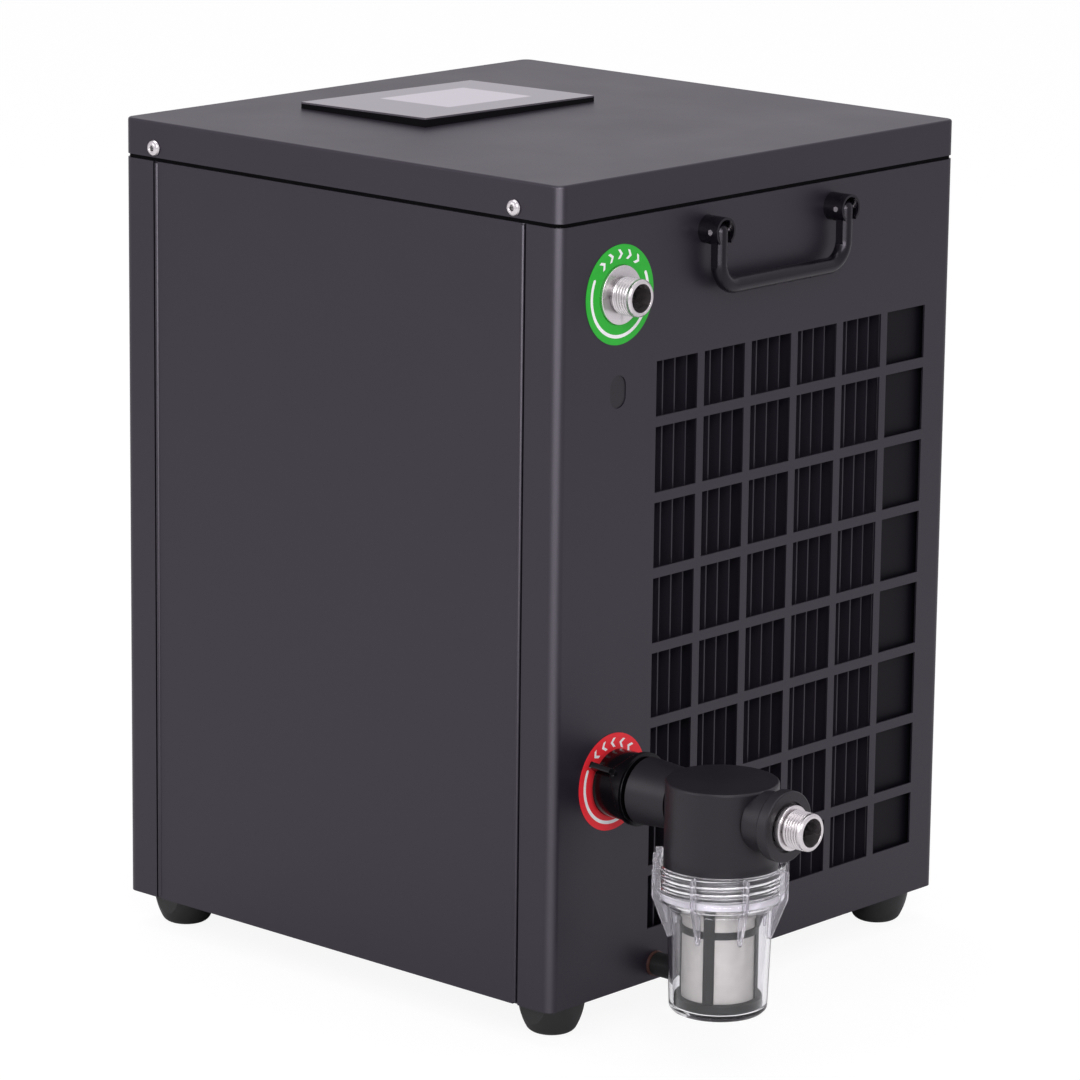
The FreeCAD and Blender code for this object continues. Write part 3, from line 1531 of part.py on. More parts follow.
def compressor():
    """The compressor: a welded pot with a flat crown, on a foot plate with rubber grommets."""
    foot_level = gauge + grommet_height
    rounding = pot_bend
    pot = turned_body("compressor", [
        (0, 0),
        (pot_radius - rounding, 0),
        (pot_radius, rounding, rounding),
        (pot_radius, pot_height - rounding),
        (pot_radius - rounding, pot_height, rounding),
        (0, pot_height),
    ])
    plate = sketch_on(pot, "XY_Plane", -pot_foot)
    half = grommet_spread + grommet_radius
    rectangle(plate, -half, -half, half, half)
    corners = pad(pot, plate, pot_foot)

    def at_corner(edge):
        return is_upright(edge) and edge.CenterOfMass.z < 0

    fillet(pot, corners, at_corner, grommet_radius)
    in_cabinet(pot, -pot_x, pot_y, foot_level + pot_foot)
    grommets = []
    for index, (across, along) in enumerate(((-1, -1), (1, -1), (-1, 1), (1, 1))):
        grommet = cylinder("grommet_%d" % index, grommet_radius, grommet_height)
        in_cabinet(grommet, -pot_x + grommet_spread * across, pot_y + grommet_spread * along, gauge)
        grommets.append(grommet)
    group("compressor_grommets", grommets)


# Cold side

def evaporator():
    """The heat exchanger: an insulated barrel standing on the pan, with two water stubs on top."""
    rounding = barrel_bend
    barrel = turned_body("evaporator", [
        (0, 0),
        (barrel_radius - rounding, 0),
        (barrel_radius, rounding, rounding),
        (barrel_radius, barrel_height - rounding),
        (barrel_radius - rounding, barrel_height, rounding),
        (0, barrel_height),
    ])
    stubs = sketch_on(barrel, "XY_Plane", barrel_height)
    disc(stubs, -barrel_radius / 2, 0, stub_radius)
    disc(stubs, barrel_radius / 2, 0, stub_radius)
    pad(barrel, stubs, stub_height)
    bores = sketch_on(barrel, "XY_Plane", barrel_height + stub_height)
    disc(bores, -barrel_radius / 2, 0, port_bore)
    disc(bores, barrel_radius / 2, 0, port_bore)
    pocket(barrel, bores, stub_height * 2)
    in_cabinet(barrel, barrel_x, barrel_y, gauge)


def pump():
    """The circulation pump behind the inlet: volute, motor, stubs and a moulded foot."""
    body = turned_body("circulation_pump", [
        (0, 0),
        (pump_radius, 0),
        (pump_radius, pump_length),
        (pump_motor_radius, pump_length),
        (pump_motor_radius, pump_length + pump_motor_length),
        (0, pump_length + pump_motor_length),
    ])
    suction = sketch_on(body, "XY_Plane", -stub_height)
    disc(suction, 0, 0, stub_radius)
    pad(body, suction, stub_height)
    discharge = sketch_on(body, "XZ_Plane", -pump_radius - stub_height)
    disc(discharge, 0, pump_length / 2, stub_radius)
    pad(body, discharge, stub_height + pump_radius / 2)
    foot = sketch_on(body, "XY_Plane", pump_foot_reach)
    floor = gauge - inlet_z
    rectangle(foot, -pump_foot_plate / 2, floor, pump_foot_plate / 2, -pump_motor_radius + pump_foot_plate)
    rectangle(foot, -pump_radius, floor, -pump_foot_plate / 2, floor + pump_foot_plate)
    rectangle(foot, pump_foot_plate / 2, floor, pump_radius, floor + pump_foot_plate)
    pad(body, foot, pump_radius)
    in_cabinet(body, -port_x, -pump_y, inlet_z, TOWARDS_BACK)


def hoses():
    """The water hoses: inlet to pump, pump to exchanger, exchanger to outlet."""
    pump_front = -pump_y - stub_height
    tail_end = front_y + port_tail
    rise_y = -pump_y + pump_length / 2
    rise_start = inlet_z + pump_radius + stub_height - hose_overlap
    near_x, far_x = barrel_x - barrel_radius / 2, barrel_x + barrel_radius / 2
    routes = {
        "inlet_hose": [
            (-port_x, tail_end - hose_overlap, inlet_z),
            (-port_x, (tail_end + pump_front) / 2, inlet_z),
            (-port_x, pump_front + hose_overlap, inlet_z),
        ],
        "pump_hose": [
            (-port_x, rise_y, rise_start),
            (-port_x, rise_y, hose_level),
            (-port_x, hose_run, hose_level),
            (near_x, hose_run, hose_level),
            (near_x, barrel_y, stub_top - hose_overlap),
        ],
        "outlet_hose": [
            (far_x, barrel_y, stub_top - hose_overlap),
            (far_x, hose_run, outlet_z - hose_bend),
            (-port_x, hose_run, outlet_z),
            (-port_x, tail_end - hose_overlap, outlet_z),
        ],
    }
    for label, points in routes.items():
        if label == "inlet_hose":
            outer = cylinder("inlet_hose_outer", water_pipe, pump_front - tail_end + hose_overlap * 2)
            bore = cylinder("inlet_hose_bore", water_bore, pump_front - tail_end + hose_overlap * 2)
            hose = kept(less(label, outer, bore))
            in_cabinet(hose, -port_x, tail_end - hose_overlap, inlet_z, TOWARDS_BACK)
            continue
        pipe_along(label, points, water_pipe, hose_bend, water_bore)


def copper():
    """The refrigerant lines, the filter drier and the capillary."""
    crown = gauge + grommet_height + pot_foot + pot_height
    start_y = pot_y - crown_forward
    coil_middle = coil_back - coil_depth / 2
    coil_left, coil_right = coil_x - coil_width / 2, coil_x + coil_width / 2
    coil_inlet = coil_bottom + bend_pitch * (bend_count * 2 + 0.5)
    coil_outlet = coil_bottom + bend_pitch / 2
    barrel_top = gauge + barrel_height
    bend_room = copper_clear + copper_bend / 2
    pipe_along("discharge_pipe", [
        (-pot_x - crown_from_middle, start_y, crown),
        (-pot_x - crown_from_middle, start_y, coil_inlet),
        (coil_left - copper_clear, coil_middle, coil_inlet),
        (coil_left, coil_middle, coil_inlet),
    ], copper_radius, copper_bend / 2)
    pipe_along("suction_pipe", [
        (-pot_x + crown_from_middle, start_y, crown),
        (-pot_x + crown_from_middle, start_y, barrel_top + suction_rise),
        (barrel_x, barrel_y - barrel_radius / 2, barrel_top + suction_rise),
        (barrel_x, barrel_y - barrel_radius / 2, barrel_top),
    ], copper_radius, copper_bend)
    pipe_along("liquid_pipe", [
        (coil_right, coil_middle, coil_outlet),
        (coil_right + bend_room, coil_middle, coil_outlet),
        (coil_right + bend_room, -drier_y, coil_outlet),
        (coil_right + bend_room, -drier_y, drier_z),
    ], copper_radius, copper_bend / 2)
    taper = drier_radius
    drier = turned_body("filter_drier", [
        (0, 0),
        (copper_radius, 0),
        (drier_radius, taper),
        (drier_radius, drier_length - taper),
        (copper_radius, drier_length),
        (0, drier_length),
    ])
    in_cabinet(drier, coil_right + bend_room, -drier_y, drier_z)
    capillary_x = barrel_x + barrel_radius / 2
    pipe_along("capillary_tube", [
        (coil_right + bend_room, -drier_y, drier_z + drier_length),
        (coil_right + bend_room, -drier_y, barrel_top + suction_rise / 2),
        (capillary_x, barrel_y - barrel_radius / 2, barrel_top + suction_rise / 2),
        (capillary_x, barrel_y - barrel_radius / 2, barrel_top),
    ], capillary_radius, copper_bend / 2)


# Far side fittings

def mains_socket():
    """The appliance inlet: a plate on the panel, a body through it and a recess with three pins."""
    body = new_body("mains_inlet")
    plate = sketch_on(body, "XY_Plane")
    rectangle(plate, -socket_width / 2, -socket_height / 2, socket_width / 2, socket_height / 2)
    pad(body, plate, socket_plate)
    rear = sketch_on(body, "XY_Plane")
    half_width, half_height = socket_body_width / 2, socket_body_height / 2
    rectangle(rear, -half_width, -half_height, half_width, half_height)
    pad(body, rear, socket_body_depth, reverse=True)
    recess = sketch_on(body, "XY_Plane", socket_plate)
    rectangle(recess, -half_width + socket_wall, -half_height + socket_wall,
              half_width - socket_wall, half_height - socket_wall)
    pocket(body, recess, socket_recess)
    pins = sketch_on(body, "XY_Plane", socket_plate - socket_recess)
    half_pin = pin_thick / 2
    for across, lift in ((-1, -1), (0, 1), (1, -1)):
        x, y = pin_spread * across, half_pin * lift
        rectangle(pins, x - half_pin, y - pin_long / 2, x + half_pin, y + pin_long / 2)
    pad(body, pins, socket_recess - socket_plate)
    in_cabinet(body, -socket_x, front, socket_z, TOWARDS_BACK)


def power_switch():
    """The switch: a frame let into the panel and a rocker on its own pivot line."""
    frame = new_body("power_switch")
    half_width, half_height = rocker_width / 2, rocker_height / 2
    bezel = sketch_on(frame, "XY_Plane")
    rectangle(bezel, -half_width - rocker_frame, -half_height - rocker_frame,
              half_width + rocker_frame, half_height + rocker_frame)
    pad(frame, bezel, rocker_frame)
    rear = sketch_on(frame, "XY_Plane")
    rectangle(rear, -half_width, -half_height, half_width, half_height)
    pad(frame, rear, rocker_depth, reverse=True)
    well = sketch_on(frame, "XY_Plane", rocker_frame)
    rectangle(well, -half_width + rocker_wall, -half_height + rocker_wall,
              half_width - rocker_wall, half_height - rocker_wall)
    pocket(frame, well, rocker_depth)
    in_cabinet(frame, -socket_x, front, rocker_z, TOWARDS_BACK)
    rocker = new_body("power_rocker")
    profile = sketch_on(rocker, "YZ_Plane", -half_width + rocker_wall + rocker_gap)
    reach = half_height - rocker_wall - rocker_gap
    outline(profile, [
        (-reach, -rocker_depth / 4),
        (reach, -rocker_depth / 4),
        (reach, rocker_frame + rocker_crown),
        (0, rocker_frame),
        (-reach, rocker_frame + rocker_crown),
    ])
    pad(rocker, profile, (half_width - rocker_wall - rocker_gap) * 2)
    tilted = TOWARDS_BACK.multiply(FreeCAD.Rotation(FreeCAD.Vector(1, 0, 0), rocker_tilt))
    in_cabinet(rocker, -socket_x, front, rocker_z, tilted)


# Everything is made here

def build():
    """Make every sub-part."""
    port_panel()
    exhaust_panel()
    side_panel("side_panel_left", UPRIGHT)
    side_panel("side_panel_right", FreeCAD.Rotation(UP, 180))
    base_pan()
    top_frame()
    lid()
    lid_screws()
    feet()
    vane_grille()
    handles()
    for name, level in (("outlet", outlet_z), ("inlet", inlet_z)):
        label_ring(name + "_label", level)
        port_fitting(name + "_fitting", level)
    group("port_locknuts", [locknut("outlet_locknut", outlet_z), locknut("inlet_locknut", inlet_z)])
    drain()
    union_nut()
    filter_head()
    filter_nipple()
    filter_bowl()
    bowl_seal()
    strainer()
    display()
    condenser()
    fan()
    compressor()
    evaporator()
    pump()
    hoses()
    copper()
    mains_socket()
    power_switch()
    document.recompute()


def check():
    """Stop if a feature failed or a sub-part has no sound shape."""
    failed = [item.Label for item in document.Objects if {"Invalid", "Error"} & set(item.State)]
    empty = [label for label, piece in parts.items() if piece.Shape.isNull()]
    unsound = [label for label, piece in parts.items() if label not in empty and not piece.Shape.isValid()]
    if failed or empty or unsound:
        raise ValueError("failed %s, empty %s, unsound %s" % (failed, empty, unsound))


def write():
    """Write each sub-part's shape to a file of its name."""
    os.makedirs("parts", exist_ok=True)
    for label, piece in parts.items():
        piece.Shape.exportStep("parts/%s.step" % label)
        box = piece.Shape.BoundBox
        print("%-26s %2d solids %9.0f mm3  x %.1f %.1f  y %.1f %.1f  z %.1f %.1f" % (
            label, len(piece.Shape.Solids), piece.Shape.Volume,
            box.XMin, box.XMax, box.YMin, box.YMax, box.ZMin, box.ZMax))


build()
check()
write()
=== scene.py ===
"""An ice bath chiller: its finishes, printed marks, threads and moulded pieces.

Everything is in metres in the frame of the chiller: +Z up, the grille and the ports on the -Y face.
"""
import json
import logging
import math
from abc import ABC, abstractmethod
from dataclasses import dataclass, field
from enum import Enum
from typing import Callable, Optional, Sequence, Union

import bmesh
import bpy
import numpy as np
from mathutils import Matrix, Vector


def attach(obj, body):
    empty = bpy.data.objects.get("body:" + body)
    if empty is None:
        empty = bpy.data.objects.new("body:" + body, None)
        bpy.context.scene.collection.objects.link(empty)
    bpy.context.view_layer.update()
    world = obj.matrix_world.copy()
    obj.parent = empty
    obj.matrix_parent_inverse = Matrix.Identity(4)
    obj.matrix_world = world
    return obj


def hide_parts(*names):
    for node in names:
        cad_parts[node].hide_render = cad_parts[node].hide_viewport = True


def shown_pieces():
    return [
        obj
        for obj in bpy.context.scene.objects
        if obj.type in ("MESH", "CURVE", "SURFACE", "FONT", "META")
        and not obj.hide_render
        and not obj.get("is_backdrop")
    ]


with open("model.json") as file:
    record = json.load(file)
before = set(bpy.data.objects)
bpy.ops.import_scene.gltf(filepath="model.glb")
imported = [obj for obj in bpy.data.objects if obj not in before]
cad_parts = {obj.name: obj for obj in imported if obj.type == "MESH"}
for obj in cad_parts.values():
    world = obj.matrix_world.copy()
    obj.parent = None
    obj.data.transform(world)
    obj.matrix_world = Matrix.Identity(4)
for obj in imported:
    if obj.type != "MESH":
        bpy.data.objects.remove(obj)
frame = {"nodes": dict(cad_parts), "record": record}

LOG = logging.getLogger("chiller")
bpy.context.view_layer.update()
TURN = 2.0 * math.pi
UPRIGHT = (0.0, 0.0, 1.0)

# Both ports lie on one upright line of the panel.
PORT_X = -0.1212
PANEL_Y = -0.1028
OUTLET_LEVEL = 0.4144
INLET_LEVEL = 0.1428

Colour = tuple[float, float, float]
Point = tuple[float, float, float]
Profile = Sequence[Sequence[float]]
Feed = Union[float, Sequence[float], bpy.types.NodeSocket]


class Heading(Enum):
    """The way that a turned piece's own axis points, after the axes that lie across it."""

    FRONT = ((1.0, 0.0, 0.0), (0.0, 0.0, 1.0), (0.0, -1.0, 0.0))
    LEFT = ((0.0, -1.0, 0.0), (0.0, 0.0, 1.0), (-1.0, 0.0, 0.0))
    RIGHT = ((0.0, 1.0, 0.0), (0.0, 0.0, 1.0), (1.0, 0.0, 0.0))
    UP = ((1.0, 0.0, 0.0), (0.0, 1.0, 0.0), (0.0, 0.0, 1.0))


@dataclass(frozen=True)
class Axis:
    """A point and a heading that a piece is drawn about."""

    origin: Point
    heading: Heading

    def place(self, local: np.ndarray) -> np.ndarray:
        """Turn local coordinates into the chiller's frame.

        Formula: origin + x * across + y * aloft + z * along.

        Args:
            local: points with the last dimension (x, y, z).

        Returns:
            The same points in the chiller's frame.
        """
        return np.asarray(self.origin) + local @ np.asarray(self.heading.value)

    def turned(self, radius: np.ndarray, angle: np.ndarray, height: np.ndarray) -> np.ndarray:
        """Turn cylinder coordinates about the axis into the chiller's frame.

        Formula: the local point is (radius cos angle, radius sin angle, height).

        Args:
            radius: distances from the axis.
            angle: angles round it.
            height: distances along it.

        Returns:
            The points, with the shape that the three arrays have together.
        """
        local = np.broadcast_arrays(radius * np.cos(angle), radius * np.sin(angle), height)
        return self.place(np.stack(local, -1))


# Meshes from numpy surfaces


@dataclass
class Surface:
    """A grid of points that may close on itself along its rows or its columns."""

    points: np.ndarray
    round_rows: bool = False
    round_columns: bool = True

    def faces(self) -> np.ndarray:
        """Number the quads of the grid.

        Formula: the face at (i, j) joins (i, j), (i, j+1), (i+1, j+1) and (i+1, j), counted round
        where the grid closes on itself.
        """
        rows, columns = self.points.shape[:2]
        i, j = np.meshgrid(
            np.arange(rows if self.round_rows else rows - 1),
            np.arange(columns if self.round_columns else columns - 1),
            indexing="ij",
        )
        here, after, beside = i * columns, (i + 1) % rows * columns, (j + 1) % columns
        corners = [here + j, here + beside, after + beside, after + j]
        return np.stack(corners, -1).reshape(-1, 4)


@dataclass(frozen=True)
class Helix:
    """A screw thread cut into the part of a turned surface that has one radius."""

    radius: float
    start: float
    end: float
    pitch: float
    depth: float
    sharpness: float = 1.0
    near: float = 1e-6
    run_out: float = 0.67
    pitch_chords: int = 16

    def chords(self, here: np.ndarray, after: np.ndarray) -> int:
        """Count the chords between two points of a profile: many where it is threaded."""
        if max(abs(here[0] - self.radius), abs(after[0] - self.radius)) >= self.near:
            return 1
        return int(abs(after[1] - here[1]) / self.pitch * self.pitch_chords) + 1

    def offset(self, radius: np.ndarray, height: np.ndarray, angle: np.ndarray) -> np.ndarray:
        """How far the thread moves each point along its radius.

        Formula: depth * fade * wave, where wave is a rounded triangle wave of height / pitch -
        angle / turn, and fade rises and falls over two thirds of a pitch at the thread's ends.
        """
        wave = np.abs(((height / self.pitch - angle / TURN) % 1.0) * 2 - 1)
        wave = (wave * wave * (3 - 2 * wave)) ** self.sharpness
        room = np.minimum(height - self.start, self.end - height) / (self.pitch * self.run_out)
        cut = np.clip(room, 0, 1) * (np.abs(radius - self.radius) < self.near)
        return self.depth * wave * cut


@dataclass(frozen=True)
class Wings:
    """Two moulded wings on a turned nut, with a collar whose back edge flows round them."""

    bearing: float
    drum: float = 0.0190
    back: float = 0.0027
    front: float = 0.0233
    tip: float = 0.0277
    ramp: float = 0.0005
    crown: float = 0.0014
    crown_drop: float = 0.0008
    half_gauge: float = 0.0011
    fillet: float = 0.0010
    wing_end: float = 0.0158
    end_rise: float = 0.0054
    end_slope: float = 0.0009
    collar_start: float = 0.0198
    collar_sweep: float = 0.0075
    collar_spread: float = 0.006
    collar_rise: float = 0.0016
    collar_bevel: float = 0.0008
    chord: float = 0.00033

    def chords(self, here: np.ndarray, after: np.ndarray) -> int:
        """Count the chords between two points of a profile: many along its outside."""
        if min(here[0], after[0]) <= self.drum - 0.0005:
            return 1
        return int(abs(after[1] - here[1]) / self.chord) + 1

    def offset(self, radius: np.ndarray, height: np.ndarray, angle: np.ndarray) -> np.ndarray:
        """How far the wings and the collar stand out of the drum.

        Formula: with t the distance sideways from the nearest wing's middle, a wing is its rise
        over the drum times 1 - smooth((t - half gauge) / fillet). The collar's edge lies at start -
        sweep / (1 + (t / spread)^2), and the larger of the two is taken.
        """
        turn = (angle - math.radians(self.bearing) + math.pi / 2) % math.pi - math.pi / 2
        aside = np.abs(turn) * radius
        spine = np.interp(
            height,
            [self.back, self.back + self.ramp, self.back + self.crown,
             self.wing_end, self.wing_end + self.end_slope],
            [self.drum, self.tip - self.crown_drop, self.tip, self.drum + self.end_rise, self.drum],
        )
        wing = (spine - self.drum) * (1 - self.smooth((aside - self.half_gauge) / self.fillet))
        edge = self.collar_start - self.collar_sweep / (1 + (aside / self.collar_spread) ** 2)
        collar = self.collar_rise * self.smooth((height - edge) / self.collar_bevel)
        between = (height > self.back - 0.001) & (height < self.front - 0.0005)
        return np.maximum(wing, collar) * ((radius > self.drum - 0.0003) & between)

    @staticmethod
    def smooth(value: np.ndarray) -> np.ndarray:
        """A step from 0 to 1 with a soft start and end."""
        share = np.clip(value, 0, 1)
        return share * share * (3 - 2 * share)


Relief = Union[Helix, Wings]


class Form:
    """Builds mesh objects from whole arrays of points."""

    MERGE = 1e-7
    SLIVER = 1e-8
    SIDE_SHARE = 0.48
    STRAIGHT = 0.9999

    @staticmethod
    def mesh(name: str, surfaces: Sequence[Surface], crease: float = 38.0) -> bpy.types.Object:
        """Make a smooth-shaded object whose faces point outwards.

        Args:
            name: the object's name.
            surfaces: the surfaces that it is made of.
            crease: the angle in degrees above which an edge stays sharp.

        Returns:
            The new object, at the origin.
        """
        starts = np.cumsum([0] + [surface.points[..., 0].size for surface in surfaces[:-1]])
        points = np.vstack([surface.points.reshape(-1, 3) for surface in surfaces])
        faces = np.vstack([surface.faces() + start for surface, start in zip(surfaces, starts)])
        mesh = bpy.data.meshes.new(name)
        mesh.from_pydata(points, [], faces.tolist())
        shell = bmesh.new()
        shell.from_mesh(mesh)
        bmesh.ops.remove_doubles(shell, verts=shell.verts, dist=Form.MERGE)
        bmesh.ops.dissolve_degenerate(shell, dist=Form.SLIVER, edges=shell.edges)
        bmesh.ops.recalc_face_normals(shell, faces=shell.faces)
        shell.to_mesh(mesh)
        shell.free()
        mesh.shade_smooth()
        mesh.set_sharp_from_angle(angle=math.radians(crease))
        piece = bpy.data.objects.new(name, mesh)
        bpy.context.scene.collection.objects.link(piece)
        return piece

    @staticmethod
    def rounded(profile: Profile, steps: int = 4, closed: bool = False) -> np.ndarray:
        """Round the corners of a profile.

        Formula: a corner (x, y, r) becomes an arc of radius r that touches both its sides; where
        the sides are too short, the arc takes 0.48 of the shorter one.

        Args:
            profile: corners as (x, y) or (x, y, radius).
            steps: the number of chords in each arc.
            closed: whether the last corner joins the first.

        Returns:
            The rounded profile, one point a row.
        """
        corners = [np.array(item[:2], float) for item in profile]
        result = []
        for index, item in enumerate(profile):
            here = corners[index]
            at_end = not closed and index in (0, len(profile) - 1)
            radius = item[2] if len(item) > 2 else 0.0
            if at_end or radius <= 0.0:
                result.append(here[None])
                continue
            back = corners[index - 1] - here
            ahead = corners[(index + 1) % len(profile)] - here
            back_length, ahead_length = np.linalg.norm(back), np.linalg.norm(ahead)
            back, ahead = back / back_length, ahead / ahead_length
            half = math.acos(float(np.clip(back @ ahead, -Form.STRAIGHT, Form.STRAIGHT))) / 2
            longest = Form.SIDE_SHARE * min(back_length, ahead_length)
            reach = min(radius / math.tan(half), longest)
            start, end = here + back * reach, here + ahead * reach
            middle = (back + ahead) / np.linalg.norm(back + ahead)
            centre = here + middle * reach / math.cos(half)
            spokes = start + (end - start) * np.linspace(0, 1, steps + 1)[:, None] - centre
            size = np.linalg.norm(start - centre)
            result.append(centre + spokes / np.linalg.norm(spokes, axis=1, keepdims=True) * size)
        return np.vstack(result)

    @staticmethod
    def divided(
        line: np.ndarray, chords: Callable[[np.ndarray, np.ndarray], int]
    ) -> np.ndarray:
        """Add points along the sides of a profile.

        Args:
            line: the profile, one point a row.
            chords: counts the chords between two points that follow each other.

        Returns:
            The profile with the added points.
        """
        pieces = [line[:1]]
        for here, after in zip(line, line[1:]):
            share = np.linspace(0, 1, chords(here, after) + 1)[1:, None]
            pieces.append(here + (after - here) * share)
        return np.vstack(pieces)

    @classmethod
    def lathe(
        cls,
        axis: Axis,
        profile: Profile,
        closed: bool = True,
        relief: Optional[Relief] = None,
        segments: int = 128,
        steps: int = 4,
    ) -> Surface:
        """Turn a profile about an axis.

        Formula: the point at (profile point s, angle a) is (r cos a, r sin a, h), where r and h are
        the profile's at s and a relief, if there is one, is added to r.

        Args:
            axis: the axis of the turning.
            profile: corners as (radius, height) or (radius, height, rounding).
            closed: whether the profile is a ring; otherwise it starts and ends on the axis.
            relief: the thread or the wings that the surface carries.
            segments: the number of steps round.
            steps: the number of chords in each rounding.

        Returns:
            The turned surface.
        """
        line = cls.rounded(profile, steps, closed)
        if relief is not None:
            line = cls.divided(np.vstack([line, line[:1]]), relief.chords)[:-1]
        angle = np.linspace(0, TURN, segments, endpoint=False)[None]
        radius, height = line[:, :1], line[:, 1:2]
        reach = radius if relief is None else radius + relief.offset(radius, height, angle)
        return Surface(axis.turned(reach, angle, height), round_rows=closed)

    @staticmethod
    def slab(
        corner: Point, across: Point, aloft: Point, outline: np.ndarray, gauge: float, edge: float
    ) -> Surface:
        """A flat plate with softened edges.

        Formula: rings of the outline stand at four depths along the third direction, the outermost
        two drawn in by the edge towards the outline's middle, and each end closes at that middle.

        Args:
            corner: the point that the outline is measured from.
            across: the unit direction of the outline's x.
            aloft: the unit direction of the outline's y.
            outline: points (x, y) in order.
            gauge: the plate's thickness, half each side of the outline's plane.
            edge: the softening of its edges.

        Returns:
            The closed surface.
        """
        middle = outline.mean(0)
        spokes = outline - middle
        inset = middle + spokes * (1 - edge / np.linalg.norm(spokes, axis=1, keepdims=True))
        centre = np.repeat(middle[None], len(outline), 0)
        half = gauge / 2
        rings = ((centre, -half), (inset, -half), (outline, edge - half),
                 (outline, half - edge), (inset, half), (centre, half))
        third = np.cross(across, aloft)
        points = np.stack([
            np.asarray(corner) + ring[:, :1] * np.asarray(across)
            + ring[:, 1:] * np.asarray(aloft) + depth * third
            for ring, depth in rings
        ])
        return Surface(points)

    @staticmethod
    def band(
        axis: Axis,
        middle: float,
        width: float,
        angles: tuple[float, float],
        levels: Sequence[float],
    ) -> Surface:
        """A thin curved bar: part of a flat ring with round ends.

        Formula: at angle a the bar is as wide as a circle's chord over the last half width at each
        end, and full width between.

        Args:
            axis: the ring's axis.
            middle: the radius of the bar's middle.
            width: the bar's width.
            angles: its first and its last angle in degrees.
            levels: the heights of its underside and its top.

        Returns:
            The closed surface.
        """
        full = width / 2
        angle = np.radians(np.linspace(*angles, 128))
        arc = np.minimum(angle - angle[0], angle[-1] - angle) * middle
        half = full * np.sqrt(np.clip(1 - (1 - np.clip(arc / full, 0, 1)) ** 2, 0.0, 1.0))
        radii = np.stack([middle - half, middle + half, middle + half, middle - half], 1)
        low, high = levels
        return Surface(axis.turned(radii, angle[:, None], np.array([low, low, high, high])))


# Finishes


def shaded(colour: Colour, share: float, lift: float = 0.0) -> Colour:
    """Multiply a colour by a share and add a lift."""
    red, green, blue = (value * share + lift for value in colour)
    return red, green, blue


class Graph:
    """A node tree whose nodes are added, set and fed in one call."""

    def __init__(self, tree: bpy.types.NodeTree) -> None:
        """Take up a node tree.

        Args:
            tree: the tree of a material or a world.
        """
        self.tree = tree

    def feed(self, socket: bpy.types.NodeSocket, value: Feed) -> None:
        """Link a socket, or give it a value of its own.

        Args:
            socket: the input socket.
            value: an output socket to link it to, or a value.
        """
        if isinstance(value, bpy.types.NodeSocket):
            self.tree.links.new(value, socket)
        else:
            socket.default_value = value

    def add(
        self, kind: str, feeds: Optional[dict[Union[str, int], Feed]] = None, **settings: object
    ) -> bpy.types.Node:
        """Add a node.

        Args:
            kind: the node's kind, without the ShaderNode before it.
            feeds: what its inputs are fed with, by their names or numbers.
            settings: the node's own settings.

        Returns:
            The node.
        """
        node = self.tree.nodes.new("ShaderNode" + kind)
        for name, value in settings.items():
            setattr(node, name, value)
        for name, value in (feeds or {}).items():
            self.feed(node.inputs[name], value)
        return node

    def math(self, operation: str, first: Feed, second: Feed = 0.0) -> bpy.types.NodeSocket:
        """Work out one step of arithmetic."""
        return self.add("Math", {0: first, 1: second}, operation=operation).outputs["Value"]

    def mixed(
        self, share: Feed, first: Feed, second: Feed, blend: str = "MIX"
    ) -> bpy.types.NodeSocket:
        """Mix a share of a second colour into a first one."""
        feeds = {"Fac": share, "Color1": first, "Color2": second}
        return self.add("MixRGB", feeds, blend_type=blend).outputs["Color"]

    def ranged(
        self, value: Feed, source: Sequence[float], target: Sequence[float], **settings: object
    ) -> bpy.types.NodeSocket:
        """Draw a value out from one range to another.

        Args:
            value: the value.
            source: the range's ends before.
            target: the range's ends after.
            settings: the node's own settings.

        Returns:
            The result, held within the target.
        """
        feeds = {"Value": value, "From Min": source[0], "From Max": source[1],
                 "To Min": target[0], "To Max": target[1]}
        return self.add("MapRange", feeds, **settings).outputs["Result"]

    def seen(self) -> bpy.types.NodeSocket:
        """Give 1 to the camera's rays, straight or through something clear, and 0 to others."""
        path = self.add("LightPath").outputs
        return self.math("MAXIMUM", path["Is Camera Ray"], path["Is Transmission Ray"])


